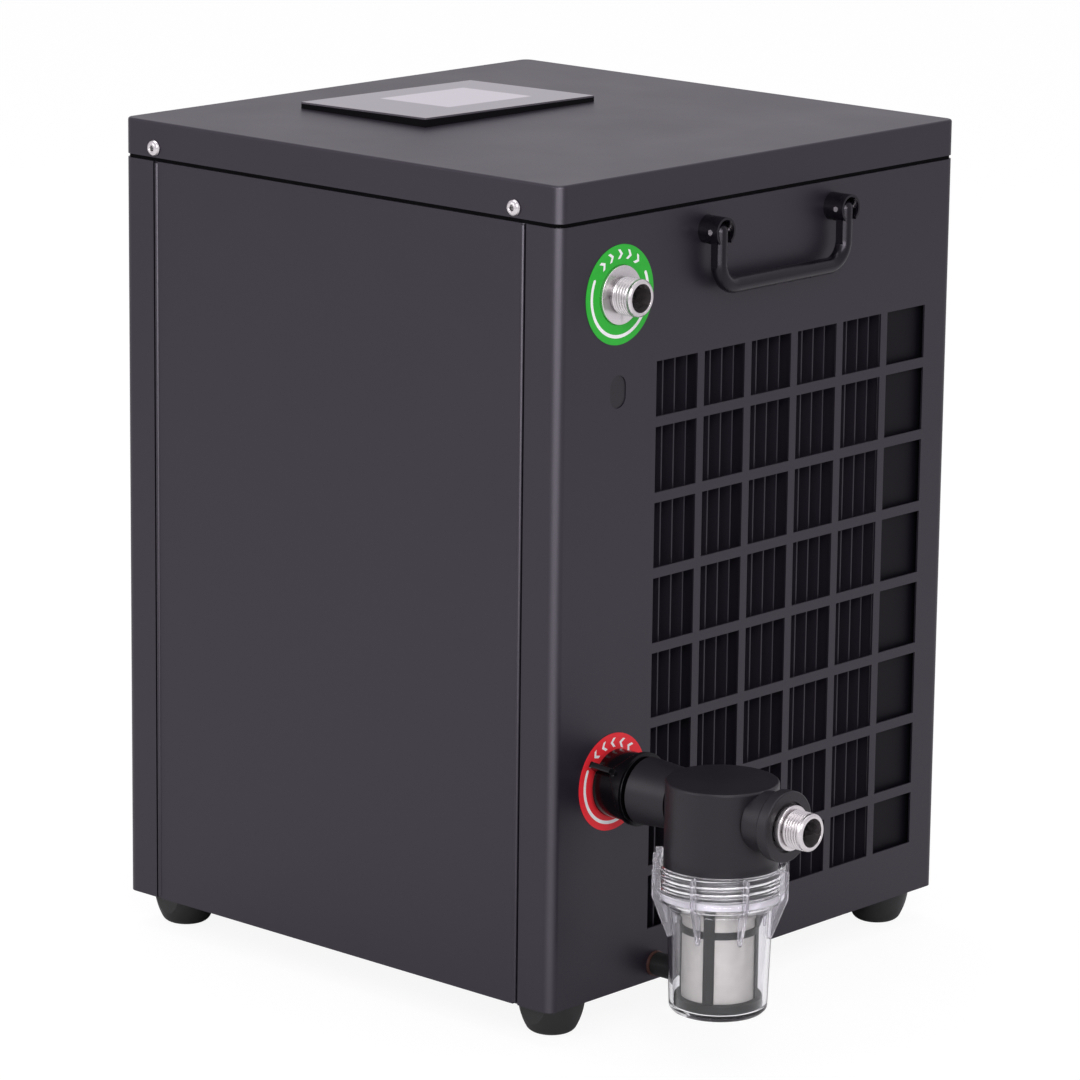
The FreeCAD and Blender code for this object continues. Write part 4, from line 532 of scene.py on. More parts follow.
class Shader(Graph):
    """One material and the patterns that feed its surface."""

    PATTERN = (0.3, 0.7)

    def __init__(self, name: str, colour: Colour, roughness: float, metallic: float = 0.0) -> None:
        """Start a material.

        Args:
            name: the material's name.
            colour: its base colour.
            roughness: its roughness.
            metallic: 1 for a metal.
        """
        self.material = bpy.data.materials.new(name)
        self.material.use_nodes = True
        super().__init__(self.material.node_tree)
        self.surface = self.tree.nodes["Principled BSDF"]
        self.coordinates = self.add("TexCoord").outputs["Object"]
        self.set({"Base Color": (*colour, 1.0), "Roughness": roughness, "Metallic": metallic})

    def set(self, feeds: dict[str, Feed]) -> None:
        """Feed the surface's sockets, by their names."""
        for name, value in feeds.items():
            self.feed(self.surface.inputs[name], value)

    def noise(
        self, scale: float, detail: float = 2.0, stretch: Optional[Point] = None
    ) -> bpy.types.NodeSocket:
        """A noise pattern.

        Args:
            scale: features per metre.
            detail: the number of finer layers.
            stretch: the scale along each axis, where the noise is drawn out.

        Returns:
            The noise's value.
        """
        vector = self.coordinates
        if stretch is not None:
            vector = self.add("Mapping", {"Vector": vector, "Scale": stretch}).outputs["Vector"]
        feeds = {"Vector": vector, "Scale": scale, "Detail": detail}
        return self.add("TexNoise", feeds).outputs["Fac"]

    def spread(self, value: bpy.types.NodeSocket, low: float, high: float, socket: str) -> None:
        """Feed a socket with a pattern drawn out between two values.

        Args:
            value: the pattern, about 0.3 to 0.7.
            low: the value at the pattern's low end.
            high: the value at its high end.
            socket: the surface's socket.
        """
        self.set({socket: self.ranged(value, self.PATTERN, (low, high))})

    def tinted(self, value: bpy.types.NodeSocket, first: Colour, second: Colour) -> None:
        """Feed the base colour with a pattern drawn out between two colours.

        Args:
            value: the pattern, about 0.3 to 0.7.
            first: the colour at its low end.
            second: the colour at its high end.
        """
        ramp = self.add("ValToRGB", {"Fac": value})
        for stop, place, colour in zip(ramp.color_ramp.elements, self.PATTERN, (first, second)):
            stop.position = place
            stop.color = (*colour, 1.0)
        self.set({"Base Color": ramp.outputs["Color"]})

    def blend(self, share: bpy.types.NodeSocket, first: Colour, second: Colour) -> None:
        """Feed the base colour with a blend of two colours.

        Args:
            share: the share of the second colour, 0 to 1.
            first: the first colour.
            second: the second colour.
        """
        self.set({"Base Color": self.mixed(share, (*first, 1.0), (*second, 1.0))})

    def painted_cavity_shade(self, deep: float, level: float, share: float) -> None:
        """Paint shade into the hollows between threads and under edges.

        Formula: the base colour is multiplied by share where the pointiness is deep or less, rising
        to 1 at level.

        Args:
            deep: the pointiness of a full hollow.
            level: the pointiness of open surface.
            share: the share of the colour that a full hollow keeps.
        """
        pointiness = self.add("NewGeometry").outputs["Pointiness"]
        # Painted shade: the colour darkens where the surface curves inwards, in thread hollows and
        # under edges.
        cavity_shade = self.ranged(pointiness, (deep, level), (share, 1.0))
        colour = self.surface.inputs["Base Color"].links[0].from_socket
        self.set({"Base Color": self.mixed(1.0, colour, cavity_shade, "MULTIPLY")})

    def relief(self, value: bpy.types.NodeSocket, height: float, strength: float = 0.5) -> None:
        """Roughen the surface with a pattern.

        Args:
            value: the pattern.
            height: the relief's height in metres.
            strength: how much of it shows.
        """
        feeds = {"Height": value, "Distance": height, "Strength": strength}
        self.set({"Normal": self.add("Bump", feeds).outputs["Normal"]})


@dataclass(frozen=True)
class PowderCoat:
    """Baked satin powder paint on sheet steel, with a fine orange-peel skin."""

    name: str = "black_powder_coat"
    colour: Colour = (0.0100, 0.0074, 0.0138)
    roughness: float = 0.41
    tint: Colour = (0.95, 0.89, 1.0)
    patches: float = 18.0
    patchiness: float = 0.02
    peel: float = 900.0
    peel_height: float = 0.00002

    def material(self) -> bpy.types.Material:
        """The paint as a material."""
        shader = Shader(self.name, self.colour, self.roughness)
        shader.set({"Specular Tint": (*self.tint, 1.0)})
        low, high = self.roughness - self.patchiness, self.roughness + self.patchiness
        shader.spread(shader.noise(self.patches, 3.0), low, high, "Roughness")
        shader.relief(shader.noise(self.peel), self.peel_height)
        return shader.material


@dataclass(frozen=True)
class Moulding:
    """Injection-moulded plastic, from matte to glossy."""

    name: str
    colour: Colour
    roughness: float
    sheen: Colour = (0.98, 0.94, 1.0)
    patches: float = 35.0
    patchiness: float = 0.08
    grain: float = 2200.0
    grain_height: float = 0.00002
    coat: float = 0.0
    coat_roughness: float = 0.08
    specular: float = 0.5

    def material(self) -> bpy.types.Material:
        """The plastic as a material."""
        shader = Shader(self.name, self.colour, self.roughness)
        shader.set({
            "Specular IOR Level": self.specular,
            "Specular Tint": (*self.sheen, 1.0),
            "Coat Weight": self.coat,
            "Coat Roughness": self.coat_roughness,
        })
        low, high = (self.roughness * (1 + side * self.patchiness) for side in (-1, 1))
        shader.spread(shader.noise(self.patches, 3.0), low, high, "Roughness")
        shader.relief(shader.noise(self.grain), self.grain_height)
        return shader.material


@dataclass(frozen=True)
class GrillePlastic:
    """Matte moulded plastic of the air grille, with painted shade on its blank plate, coloured
    darker than its vanes.
    """

    name: str = "vane_plastic"
    vane: Colour = (0.0200, 0.0170, 0.0250)
    # Painted shade: the plate's dark colour stands in for the shade of the recess behind the
    # grille's last column.
    plate: Colour = (0.0040, 0.0033, 0.0054)
    roughness: float = 0.5
    vane_specular: float = 0.35
    shaded_plate_specular: float = 0.12
    sheen: Colour = (0.98, 0.94, 1.0)
    shaded_plate_start: float = 0.1136
    grain: float = 2200.0
    grain_height: float = 0.00002

    def material(self) -> bpy.types.Material:
        """The plastic as a material; the plate is what lies past the plate's start along X, and its
        darker colour is painted shade.
        """
        shader = Shader(self.name, self.vane, self.roughness)
        place = shader.add("SeparateXYZ", {"Vector": shader.coordinates}).outputs["X"]
        # Painted shade: past its start along X the plate is coloured darker and reflects less than
        # the vanes.
        in_shaded_plate = shader.math("GREATER_THAN", place, self.shaded_plate_start)
        shader.blend(in_shaded_plate, self.vane, self.plate)
        shader.spread(in_shaded_plate, self.vane_specular, self.shaded_plate_specular, "Specular IOR Level")
        shader.set({"Specular Tint": (*self.sheen, 1.0)})
        shader.relief(shader.noise(self.grain), self.grain_height)
        return shader.material


@dataclass(frozen=True)
class TurnedMetal:
    """Metal with the fine rings that a lathe leaves, drawn round the Y axis, and painted shade in
    its hollows.
    """

    name: str
    colour: Colour
    roughness: float
    rings: float = 2600.0
    ring_stretch: Point = (0.02, 1.0, 0.02)
    ring_height: float = 0.000002
    patches: float = 90.0
    patchiness: float = 0.1
    stains: float = 60.0
    stain_stretch: Point = (1.0, 2.5, 1.0)
    stain_share: float = 0.93
    hollow: float = 0.45
    level: float = 0.505
    hollow_shade_share: float = 0.22

    def material(self) -> bpy.types.Material:
        """The metal as a material."""
        shader = Shader(self.name, self.colour, self.roughness, 1.0)
        shader.relief(shader.noise(self.rings, stretch=self.ring_stretch), self.ring_height)
        low, high = (self.roughness * (1 + side * self.patchiness) for side in (-1, 1))
        shader.spread(shader.noise(self.patches), low, high, "Roughness")
        stains = shader.noise(self.stains, 3.0, self.stain_stretch)
        shader.tinted(stains, shaded(self.colour, self.stain_share), self.colour)
        # Painted shade: the base colour darkens in the thread hollows and under edges.
        shader.painted_cavity_shade(self.hollow, self.level, self.hollow_shade_share)
        return shader.material


@dataclass(frozen=True)
class Rubber:
    """Dull rubber with a trace of dust."""

    name: str
    colour: Colour
    roughness: float
    dust: float = 90.0
    dust_share: float = 1.5
    dust_lift: float = 0.002
    grain: float = 1500.0
    grain_height: float = 0.00004

    def material(self) -> bpy.types.Material:
        """The rubber as a material."""
        shader = Shader(self.name, self.colour, self.roughness)
        pale = shaded(self.colour, self.dust_share, self.dust_lift)
        shader.tinted(shader.noise(self.dust, 6.0), self.colour, pale)
        shader.relief(shader.noise(self.grain, 3.0), self.grain_height)
        return shader.material


@dataclass(frozen=True)
class Print:
    """Printed film: an even ink with a faint tooth."""

    name: str
    colour: Colour
    roughness: float = 0.5
    specular: float = 0.22
    mottle: float = 400.0
    mottle_share: float = 0.93
    tooth: float = 1800.0
    tooth_height: float = 0.00001

    def material(self) -> bpy.types.Material:
        """The ink as a material."""
        shader = Shader(self.name, self.colour, self.roughness)
        shader.set({"Specular IOR Level": self.specular})
        mottle = shader.noise(self.mottle, 3.0)
        shader.tinted(mottle, shaded(self.colour, self.mottle_share), self.colour)
        shader.relief(shader.noise(self.tooth, 1.0), self.tooth_height, 0.4)
        return shader.material


@dataclass(frozen=True)
class ClearPlastic:
    """Clear polycarbonate with a faint cool tint, which some milk makes less clear."""

    name: str = "clear_plastic"
    colour: Colour = (0.92, 0.91, 0.94)
    roughness: float = 0.02
    milk: float = 0.0
    ior: float = 1.46
    ripple: float = 60.0
    ripple_height: float = 0.00003

    def material(self) -> bpy.types.Material:
        """The plastic as a material."""
        shader = Shader(self.name, self.colour, self.roughness)
        shader.set({"Transmission Weight": 1.0 - self.milk, "IOR": self.ior})
        shader.relief(shader.noise(self.ripple), self.ripple_height, 0.25)
        return shader.material


@dataclass(frozen=True)
class WovenSteel:
    """Fine woven steel cloth round an upright tube."""

    name: str = "steel_mesh"
    colour: Colour = (0.43, 0.415, 0.39)
    roughness: float = 0.5
    metallic: float = 0.15
    wires: float = 2400.0
    wire_height: float = 0.00012
    stains: float = 120.0
    stain_share: float = 0.85

    def material(self) -> bpy.types.Material:
        """The cloth as a material."""
        shader = Shader(self.name, self.colour, self.roughness, self.metallic)
        weave = shader.add("TexVoronoi", {"Vector": shader.coordinates, "Scale": self.wires})
        shader.relief(weave.outputs["Distance"], self.wire_height, 0.6)
        stains = shader.noise(self.stains, 4.0)
        shader.tinted(stains, shaded(self.colour, self.stain_share), self.colour)
        return shader.material


@dataclass(frozen=True)
class CoverGlass:
    """Dark cover glass with the pale window of the screen behind it.

    The window is a box on the object's X and Y. The screen's share is the product of two smooth
    steps, one along each, from 1 within the half width to 0 past a soft border.
    """

    name: str = "display_glass"
    border: Colour = (0.116, 0.104, 0.124)
    screen: Colour = (0.46, 0.43, 0.48)
    roughness: float = 0.07
    ior: float = 1.5
    middle: tuple[float, float] = (0.004, 0.1352)
    half: tuple[float, float] = (0.034, 0.026)
    soft: float = 0.0025

    def material(self) -> bpy.types.Material:
        """The glass as a material."""
        shader = Shader(self.name, self.border, self.roughness)
        shader.set({"IOR": self.ior})
        place = shader.add("SeparateXYZ", {"Vector": shader.coordinates}).outputs
        shares = []
        for side, middle, half in zip("XY", self.middle, self.half):
            distance = shader.math("ABSOLUTE", shader.math("SUBTRACT", place[side], middle))
            edge = (half, half + self.soft)
            step = shader.ranged(distance, edge, (1.0, 0.0), interpolation_type="SMOOTHSTEP")
            shares.append(step)
        shader.blend(shader.math("MULTIPLY", *shares), self.border, self.screen)
        return shader.material


class Finish(Enum):
    """The chiller's finishes, by the slot that each one fills."""

    POWDER = PowderCoat()
    VANE = GrillePlastic()
    STEEL = TurnedMetal("stainless_steel", (0.76, 0.73, 0.74), 0.27)
    MESH = WovenSteel()
    FOOT = Rubber("foot_rubber", (0.008, 0.008, 0.008), 0.5)
    RUBBER = Rubber("black_rubber", (0.010, 0.010, 0.010), 0.55)
    HOSE = Rubber("hose_rubber", (0.014, 0.014, 0.014), 0.55)
    SEAL = Rubber("copper_seal", (0.080, 0.034, 0.026), 0.45)
    SILICONE = Rubber("white_silicone", (0.43, 0.415, 0.445), 0.35)
    GREEN = Print("green_label", (0.030, 0.47, 0.042))
    RED = Print("red_label", (0.93, 0.030, 0.044))
    INK = Print("white_ink", (0.98, 0.98, 0.98))
    GLOSS = Moulding("gloss_black_plastic", (0.0022, 0.0019, 0.0027), 0.15, specular=0.2)
    SATIN = Moulding("satin_black_plastic", (0.0098, 0.0086, 0.0112), 0.42, specular=0.42)
    ROCKER = Moulding("rocker_plastic", (0.010, 0.010, 0.010), 0.22, coat=0.3)
    CLEAR = ClearPlastic()
    FROST = ClearPlastic("clear_plastic_ribs", (0.88, 0.86, 0.91), 0.06, milk=0.10)
    CAGE = Moulding("strainer_plastic", (0.0020, 0.0042, 0.0029), 0.5, specular=0.15)
    HANDLE = PowderCoat("handle_powder_coat", (0.0042, 0.0034, 0.0056), 0.27, (0.50, 0.46, 0.53))
    GLASS = CoverGlass()
    GREY = Moulding("grey_plastic", (0.20, 0.20, 0.20), 0.5)
    FIN = TurnedMetal("fin_aluminium", (0.42, 0.42, 0.44), 0.42)
    COPPER = TurnedMetal("copper", (0.74, 0.40, 0.26), 0.3)
    MOTOR = PowderCoat("motor_metal", (0.03, 0.03, 0.03), 0.4)
    POT = PowderCoat("compressor_paint", (0.012, 0.012, 0.012), 0.35)
    # Dark foam; on the ring in the lid's gap this colour is painted shade.
    FOAM_AND_GAP_SHADE = Moulding("insulation_foam", (0.0030, 0.0028, 0.0032), 0.9, specular=0.06)


# Nodes whose finish isn't the one that their slot names.
OWN_FINISH = {"strainer_frame": Finish.CAGE} | {
    f"{handle}_handle_{part}": Finish.HANDLE
    for handle in ("port", "rear")
    for part in ("bail", "boss_left", "boss_right")
}

# Finishes that the edge lamp's reflection shows on.
EDGE_LIT = (
    Finish.POWDER, Finish.HANDLE, Finish.MESH, Finish.CLEAR, Finish.FROST, Finish.GLOSS,
)


class Workshop:
    """Holds one material per finish and dresses pieces with them."""

    def __init__(self) -> None:
        """Make every finish once."""
        self.materials = {finish: finish.value.material() for finish in Finish}
        self.slots = {finish.value.name: finish for finish in Finish}

    def fit(
        self, piece: bpy.types.Object, finish: Finish, body: str, *nodes: str
    ) -> bpy.types.Object:
        """Dress a new piece and hang it on its body.

        Args:
            piece: the piece.
            finish: its finish.
            body: the body that it rides on.
            nodes: the nodes that it stands for.

        Returns:
            The same piece.
        """
        piece.data.materials.append(self.materials[finish])
        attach(piece, body)
        if nodes:
            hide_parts(*nodes)
        LOG.info("%s rides on %s", piece.name, body)
        return piece

    def dress_nodes(self) -> None:
        """Give every carried-over node the finish of its slot, or its own."""
        for entry in frame["record"]["subparts"]:
            node = frame["nodes"][entry["node"]]
            finish = OWN_FINISH.get(entry["node"], self.slots[entry["material_slot"]])
            material = self.materials[finish]
            if not node.data.materials:
                node.data.materials.append(material)
            for slot in node.material_slots:
                slot.material = material
            LOG.info("%s wears %s", node.name, finish.name)

    def wearing(self, finishes: Sequence[Finish]) -> list[bpy.types.Object]:
        """List the pieces that wear one of some finishes."""
        materials = [self.materials[finish] for finish in finishes]
        return [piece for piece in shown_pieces() if piece.active_material in materials]


# Sub-assemblies


class Assembly(ABC):
    """A part of the chiller that makes its own pieces."""

    @abstractmethod
    def build(self, workshop: Workshop) -> None:
        """Make the pieces and dress them.

        Args:
            workshop: the workshop that dresses them.
        """


@dataclass(frozen=True)
class PipeThread:
    """The parallel pipe thread on the end of a steel nipple, with its plain tip."""

    radius: float = 0.01048
    bore: float = 0.0078
    pitch: float = 0.001814
    depth: float = 0.00105
    run_in: float = 0.0002
    run_out: float = 0.0022
    tip: float = 0.0024
    tip_drop: float = 0.0002
    chamfer: float = 0.0009
    chamfer_drop: float = 0.0012
    crease: float = 44.0

    def nipple(
        self, name: str, axis: Axis, back: Profile, groove: tuple[float, float, float], reach: float
    ) -> bpy.types.Object:
        """Turn a nipple with a groove behind its thread.

        Args:
            name: the object's name.
            axis: the nipple's axis.
            back: the profile from the bore's back end to the groove.
            groove: the groove's start, its end, and where the thread has its full radius.
            reach: the nipple's end.

        Returns:
            The new object.
        """
        start, end, full = groove
        root, tip = self.radius - self.depth, self.radius - self.tip_drop
        profile = [
            *back,
            (root, start, 0.0002),
            (root, end),
            (self.radius, full),
            (self.radius, reach - self.tip - self.tip_drop),
            (tip, reach - self.tip, 0.0003),
            (tip, reach - self.chamfer, 0.0004),
            (self.radius - self.chamfer_drop, reach, 0.0004),
            (self.bore, reach, 0.0004),
        ]
        first, last = full - self.run_in, reach - self.run_out
        helix = Helix(self.radius, first, last, self.pitch, -self.depth)
        return Form.mesh(name, [Form.lathe(axis, profile, relief=helix)], self.crease)


@dataclass
class WaterPort(Assembly):
    """A threaded steel port on the panel, with the line and flow marks printed on its label."""

    name: str
    level: float
    flow: int
    thread: PipeThread = PipeThread()
    flange_radius: float = 0.0162
    flange_gauge: float = 0.002
    groove_end: float = 0.0034
    thread_start: float = 0.004
    reach: float = 0.016
    tail: float = 0.038
    tail_radius: float = 0.0094
    shank: float = 0.0156
    label_gauge: float = 0.0003
    ink: float = 0.00004
    line_radius: float = 0.0228
    line_width: float = 0.0019
    line_angles: tuple[float, float] = (152.0, 388.0)
    mark_radius: float = 0.0222
    mark_angles: tuple[float, float] = (128.0, 52.0)
    mark_count: int = 5
    mark_width: float = 0.0019
    mark_rise: float = 0.0026
    mark_sweep: float = 0.0022

    def axis(self) -> Axis:
        """The port's axis, out of the panel."""
        return Axis((PORT_X, PANEL_Y, self.level), Heading.FRONT)

    def fitting(self) -> bpy.types.Object:
        """The turned nipple: hose tail, shank, flange, groove and thread."""
        back = [
            (self.thread.bore, -self.tail),
            (self.tail_radius, -self.tail, 0.0004),
            (self.tail_radius, -self.shank),
            (self.thread.radius, -self.shank),
            (self.thread.radius, 0.0),
            (self.flange_radius, 0.0),
            (self.flange_radius, self.flange_gauge, 0.0004),
        ]
        groove = (self.flange_gauge, self.groove_end, self.thread_start)
        return self.thread.nipple(self.name + "_nipple", self.axis(), back, groove, self.reach)

    def line(self) -> bpy.types.Object:
        """The line printed round the lower part of the label."""
        low = self.label_gauge - self.ink / 2
        levels = (low, low + self.ink)
        band = Form.band(self.axis(), self.line_radius, self.line_width, self.line_angles, levels)
        return Form.mesh(self.name + "_label_line", [band])

    def marks(self) -> bpy.types.Object:
        """Five chevrons along the label's top that point the way of the flow.

        Formula: each chevron is two slanted bars whose middles lie on the mark radius.
        """
        axis = self.axis()
        across, aloft, _ = axis.heading.value
        origin = tuple(axis.place(np.array([0.0, 0.0, self.label_gauge])))
        plates = []
        for angle in np.radians(np.linspace(*self.mark_angles, self.mark_count)):
            outward = np.array([math.cos(angle), math.sin(angle)])
            along = np.array([math.sin(angle), -math.cos(angle)]) * self.flow
            step = along * self.mark_width
            tip = outward * self.mark_radius + step
            for side in (-1.0, 1.0):
                end = tip + outward * side * self.mark_rise - along * self.mark_sweep
                outline = np.array([tip, end, end - step, tip - step])
                plates.append(Form.slab(origin, across, aloft, outline, self.ink, self.ink / 4))
        return Form.mesh(self.name + "_label_marks", plates)

    def build(self, workshop: Workshop) -> None:
        """Make the port's pieces and dress them."""
        workshop.fit(self.fitting(), Finish.STEEL, "cabinet", self.name + "_fitting")
        workshop.fit(self.line(), Finish.INK, "cabinet")
        workshop.fit(self.marks(), Finish.INK, "cabinet")


@dataclass
class InletFilter(Assembly):
    """The inlet filter's steel nipple and its clear bowl with grip ribs and a tab."""

    middle: Point = (PORT_X, -0.1818, INLET_LEVEL)
    thread: PipeThread = PipeThread()
    root: float = 0.1134
    seat: float = 0.1242
    shoulder_radius: float = 0.0125
    shoulder_end: float = 0.1291
    groove_end: float = 0.1299
    thread_start: float = 0.1303
    reach: float = 0.142
    rim: float = -0.0286
    foot: float = -0.112
    collar: float = 0.0354
    wall: float = 0.002
    cup_top: float = 0.0288
    cup_foot: float = 0.0268
    floor: float = 0.003
    shoulder: float = -0.0478
    rim_bend: float = 0.0005
    cup_bend: float = 0.002
    bowl_pitch: float = 0.0042
    bowl_depth: float = 0.0015
    bowl_sharpness: float = 1.1
    ribs: int = 8
    first_rib: float = 17.0
    rib_reach: float = 0.0398
    rib_gauge: float = 0.0018
    rib_edge: float = 0.0005
    rib_drop: float = 0.021
    tab_angle: float = 152.0
    tab_gauge: float = 0.0022
    tab_edge: float = 0.0004
    tab_profile: Profile = (
        (0.0346, -0.0010, 0.0004),
        (0.0352, 0.0032, 0.0022),
        (0.0337, 0.0068, 0.0022),
        (0.0336, 0.0110, 0.0006),
        (0.0378, 0.0114, 0.0006),
        (0.0374, 0.0078, 0.0022),
        (0.0395, 0.0040, 0.0022),
        (0.0386, -0.0010, 0.0004),
    )

    def nipple(self) -> bpy.types.Object:
        """The nipple: a polished shoulder, then the thread and a plain chamfered end."""
        axis = Axis((PORT_X, PANEL_Y, INLET_LEVEL), Heading.FRONT)
        back = [
            (self.thread.bore, self.root),
            (self.thread.radius, self.root),
            (self.thread.radius, self.seat),
            (self.shoulder_radius, self.seat),
            (self.shoulder_radius, self.shoulder_end, 0.0007),
        ]
        groove = (self.shoulder_end, self.groove_end, self.thread_start)
        return self.thread.nipple("filter_outlet_nipple", axis, back, groove, self.reach)

    def bowl(self) -> bpy.types.Object:
        """The clear bowl: one turned wall with a collar, a thread inside it and a tapered cup."""
        inner = self.collar - self.wall
        floor = self.foot + self.floor
        thread_start = self.shoulder + 0.003
        helix = Helix(inner, thread_start, self.rim - 0.001,
                      self.bowl_pitch, -self.bowl_depth, self.bowl_sharpness)
        profile = [
            (0.0, self.foot),
            (self.cup_foot - self.cup_bend, self.foot, 0.001),
            (self.cup_foot, self.foot + self.cup_bend, self.cup_bend),
            (self.cup_top, self.shoulder - 0.005, 0.004),
            (self.collar, self.shoulder, 0.003),
            (self.collar, self.rim, self.rim_bend),
            (inner, self.rim, self.rim_bend),
            (inner, thread_start),
            (inner, self.shoulder + 0.0005, 0.0008),
            (self.cup_top - self.wall, self.shoulder - 0.001, self.cup_bend),
            (self.cup_foot - self.wall, floor, self.cup_bend),
            (0.0, floor),
        ]
        axis = Axis(self.middle, Heading.UP)
        cup = Form.lathe(axis, profile, closed=False, relief=helix, steps=8)
        return Form.mesh("clear_bowl", [cup], 35.0)

    def upright(self, outline: np.ndarray, bearing: float, gauge: float, edge: float) -> Surface:
        """An upright plate that stands out from the bowl's axis.

        Args:
            outline: points (distance from the axis, height) in order.
            bearing: the plate's angle round the axis in degrees.
            gauge: its thickness.
            edge: the softening of its edges.

        Returns:
            The closed surface.
        """
        angle = math.radians(bearing)
        outward = (math.cos(angle), math.sin(angle), 0.0)
        return Form.slab(self.middle, outward, UPRIGHT, outline, gauge, edge)

    def ribs_and_tab(self) -> bpy.types.Object:
        """The grip ribs of the bowl's collar and the S-shaped tab that stands on its rim.

        Formula: rib k stands at 17 + 45 k degrees and is a plate from inside the wall out to the
        rib's reach, drawn in to the cup at its foot. The tab is one more such plate.
        """
        inner = self.collar - self.wall + 0.001
        top, foot = self.rim - 0.0004, self.shoulder - self.rib_drop
        rib = Form.rounded([
            (inner, top, 0.0006),
            (self.rib_reach, top, 0.0012),
            (self.rib_reach, self.shoulder + 0.003, 0.004),
            (self.cup_top + 0.0014, foot, 0.0012),
            (self.cup_top - 0.0012, foot + 0.001, 0.0006),
            (self.cup_top - 0.0010, self.shoulder - 0.0035, 0.001),
            (inner, self.shoulder + 0.0012, 0.001),
        ], 5, closed=True)
        bearings = [self.first_rib + 360.0 / self.ribs * index for index in range(self.ribs)]
        surfaces = [self.upright(rib, angle, self.rib_gauge, self.rib_edge) for angle in bearings]
        corners = [(out, self.rim + rise, bend) for out, rise, bend in self.tab_profile]
        tab = Form.rounded(corners, 5, closed=True)
        surfaces.append(self.upright(tab, self.tab_angle, self.tab_gauge, self.tab_edge))
        return Form.mesh("clear_bowl_ribs", surfaces, 35.0)

    def build(self, workshop: Workshop) -> None:
        """Make the filter's pieces and dress them."""
        workshop.fit(self.nipple(), Finish.STEEL, "cabinet", "filter_nipple")
        workshop.fit(self.bowl(), Finish.CLEAR, "bowl", "filter_bowl")
        workshop.fit(self.ribs_and_tab(), Finish.FROST, "bowl")


@dataclass
class UnionNut(Assembly):
    """The filter's union nut: a moulded drum with two wings that a collar flows round."""

    wings: Wings = Wings(bearing=146.0)
    neck: float = 0.01083
    neck_level: float = 0.0059
    ring: float = 0.0162
    ring_level: float = 0.0047
    foot_level: float = 0.0023
    mouth: float = 0.01425
    thread: float = 0.01555
    thread_levels: tuple[float, float] = (0.01635, 0.02135)

    def nut(self) -> bpy.types.Object:
        """The nut, turned with its neck hole, its wide mouth and the relief of its wings."""
        drum, front = self.wings.drum, self.wings.front
        deep, shallow = self.thread_levels
        profile = [
            (self.neck, self.neck_level),
            (self.ring, self.ring_level, 0.0004),
            (self.ring, self.foot_level, 0.0003),
            (drum - 0.0007, self.foot_level, 0.0003),
            (drum, self.wings.back),
            (drum, front - 0.0008),
            (drum + 0.0006, front - 0.0002, 0.0005),
            (drum - 0.0014, front, 0.0008),
            (self.mouth, front, 0.0003),
            (self.mouth, shallow),
            (self.thread, shallow),
            (self.thread, deep),
            (self.neck, deep),
        ]
        axis = Axis((PORT_X, PANEL_Y, INLET_LEVEL), Heading.FRONT)
        surface = Form.lathe(axis, profile, relief=self.wings, segments=448)
        return Form.mesh("moulded_union_nut", [surface], 50.0)

    def build(self, workshop: Workshop) -> None:
        """Make the nut and dress it."""
        workshop.fit(self.nut(), Finish.GLOSS, "union", "union_nut")


@dataclass
class LidScrews(Assembly):
    """The four round-headed screws in the lid's skirt."""

    side: float = 0.170
    places: tuple[float, float] = (-0.070, 0.2062)
    level: float = 0.4634
    head: float = 0.0047
    rise: float = 0.0026
    shank: float = 0.00225
    reach: float = 0.010
    recess: float = 0.0016

    def heads(self) -> bpy.types.Object:
        """Four screws: a domed head with a raised ring about its recess, and the shank.

        Formula: one profile turned about the X axis at each of the four places.
        """
        profile = [
            (0.0, -self.reach),
            (self.shank, -self.reach, 0.0004),
            (self.shank, 0.0001),
            (self.head - 0.0003, 0.0001, 0.0002),
            (self.head, 0.0005, 0.0004),
            (self.head * 0.86, self.rise * 0.66, 0.0012),
            (self.head * 0.62, self.rise, 0.0012),
            (self.recess + 0.0003, self.rise, 0.0003),
            (self.recess, self.rise - 0.0004, 0.0003),
            (self.recess * 0.7, self.rise * 0.42),
            (0.0, self.rise * 0.3),
        ]
        axes = [
            Axis((side, place, self.level), heading)
            for side, heading in ((-self.side, Heading.LEFT), (self.side, Heading.RIGHT))
            for place in self.places
        ]
        surfaces = [Form.lathe(axis, profile, False, segments=64, steps=6) for axis in axes]
        return Form.mesh("lid_screw_heads", surfaces, 40.0)

    def build(self, workshop: Workshop) -> None:
        """Make the screws and dress them."""
        workshop.fit(self.heads(), Finish.STEEL, "cabinet", "lid_screws")


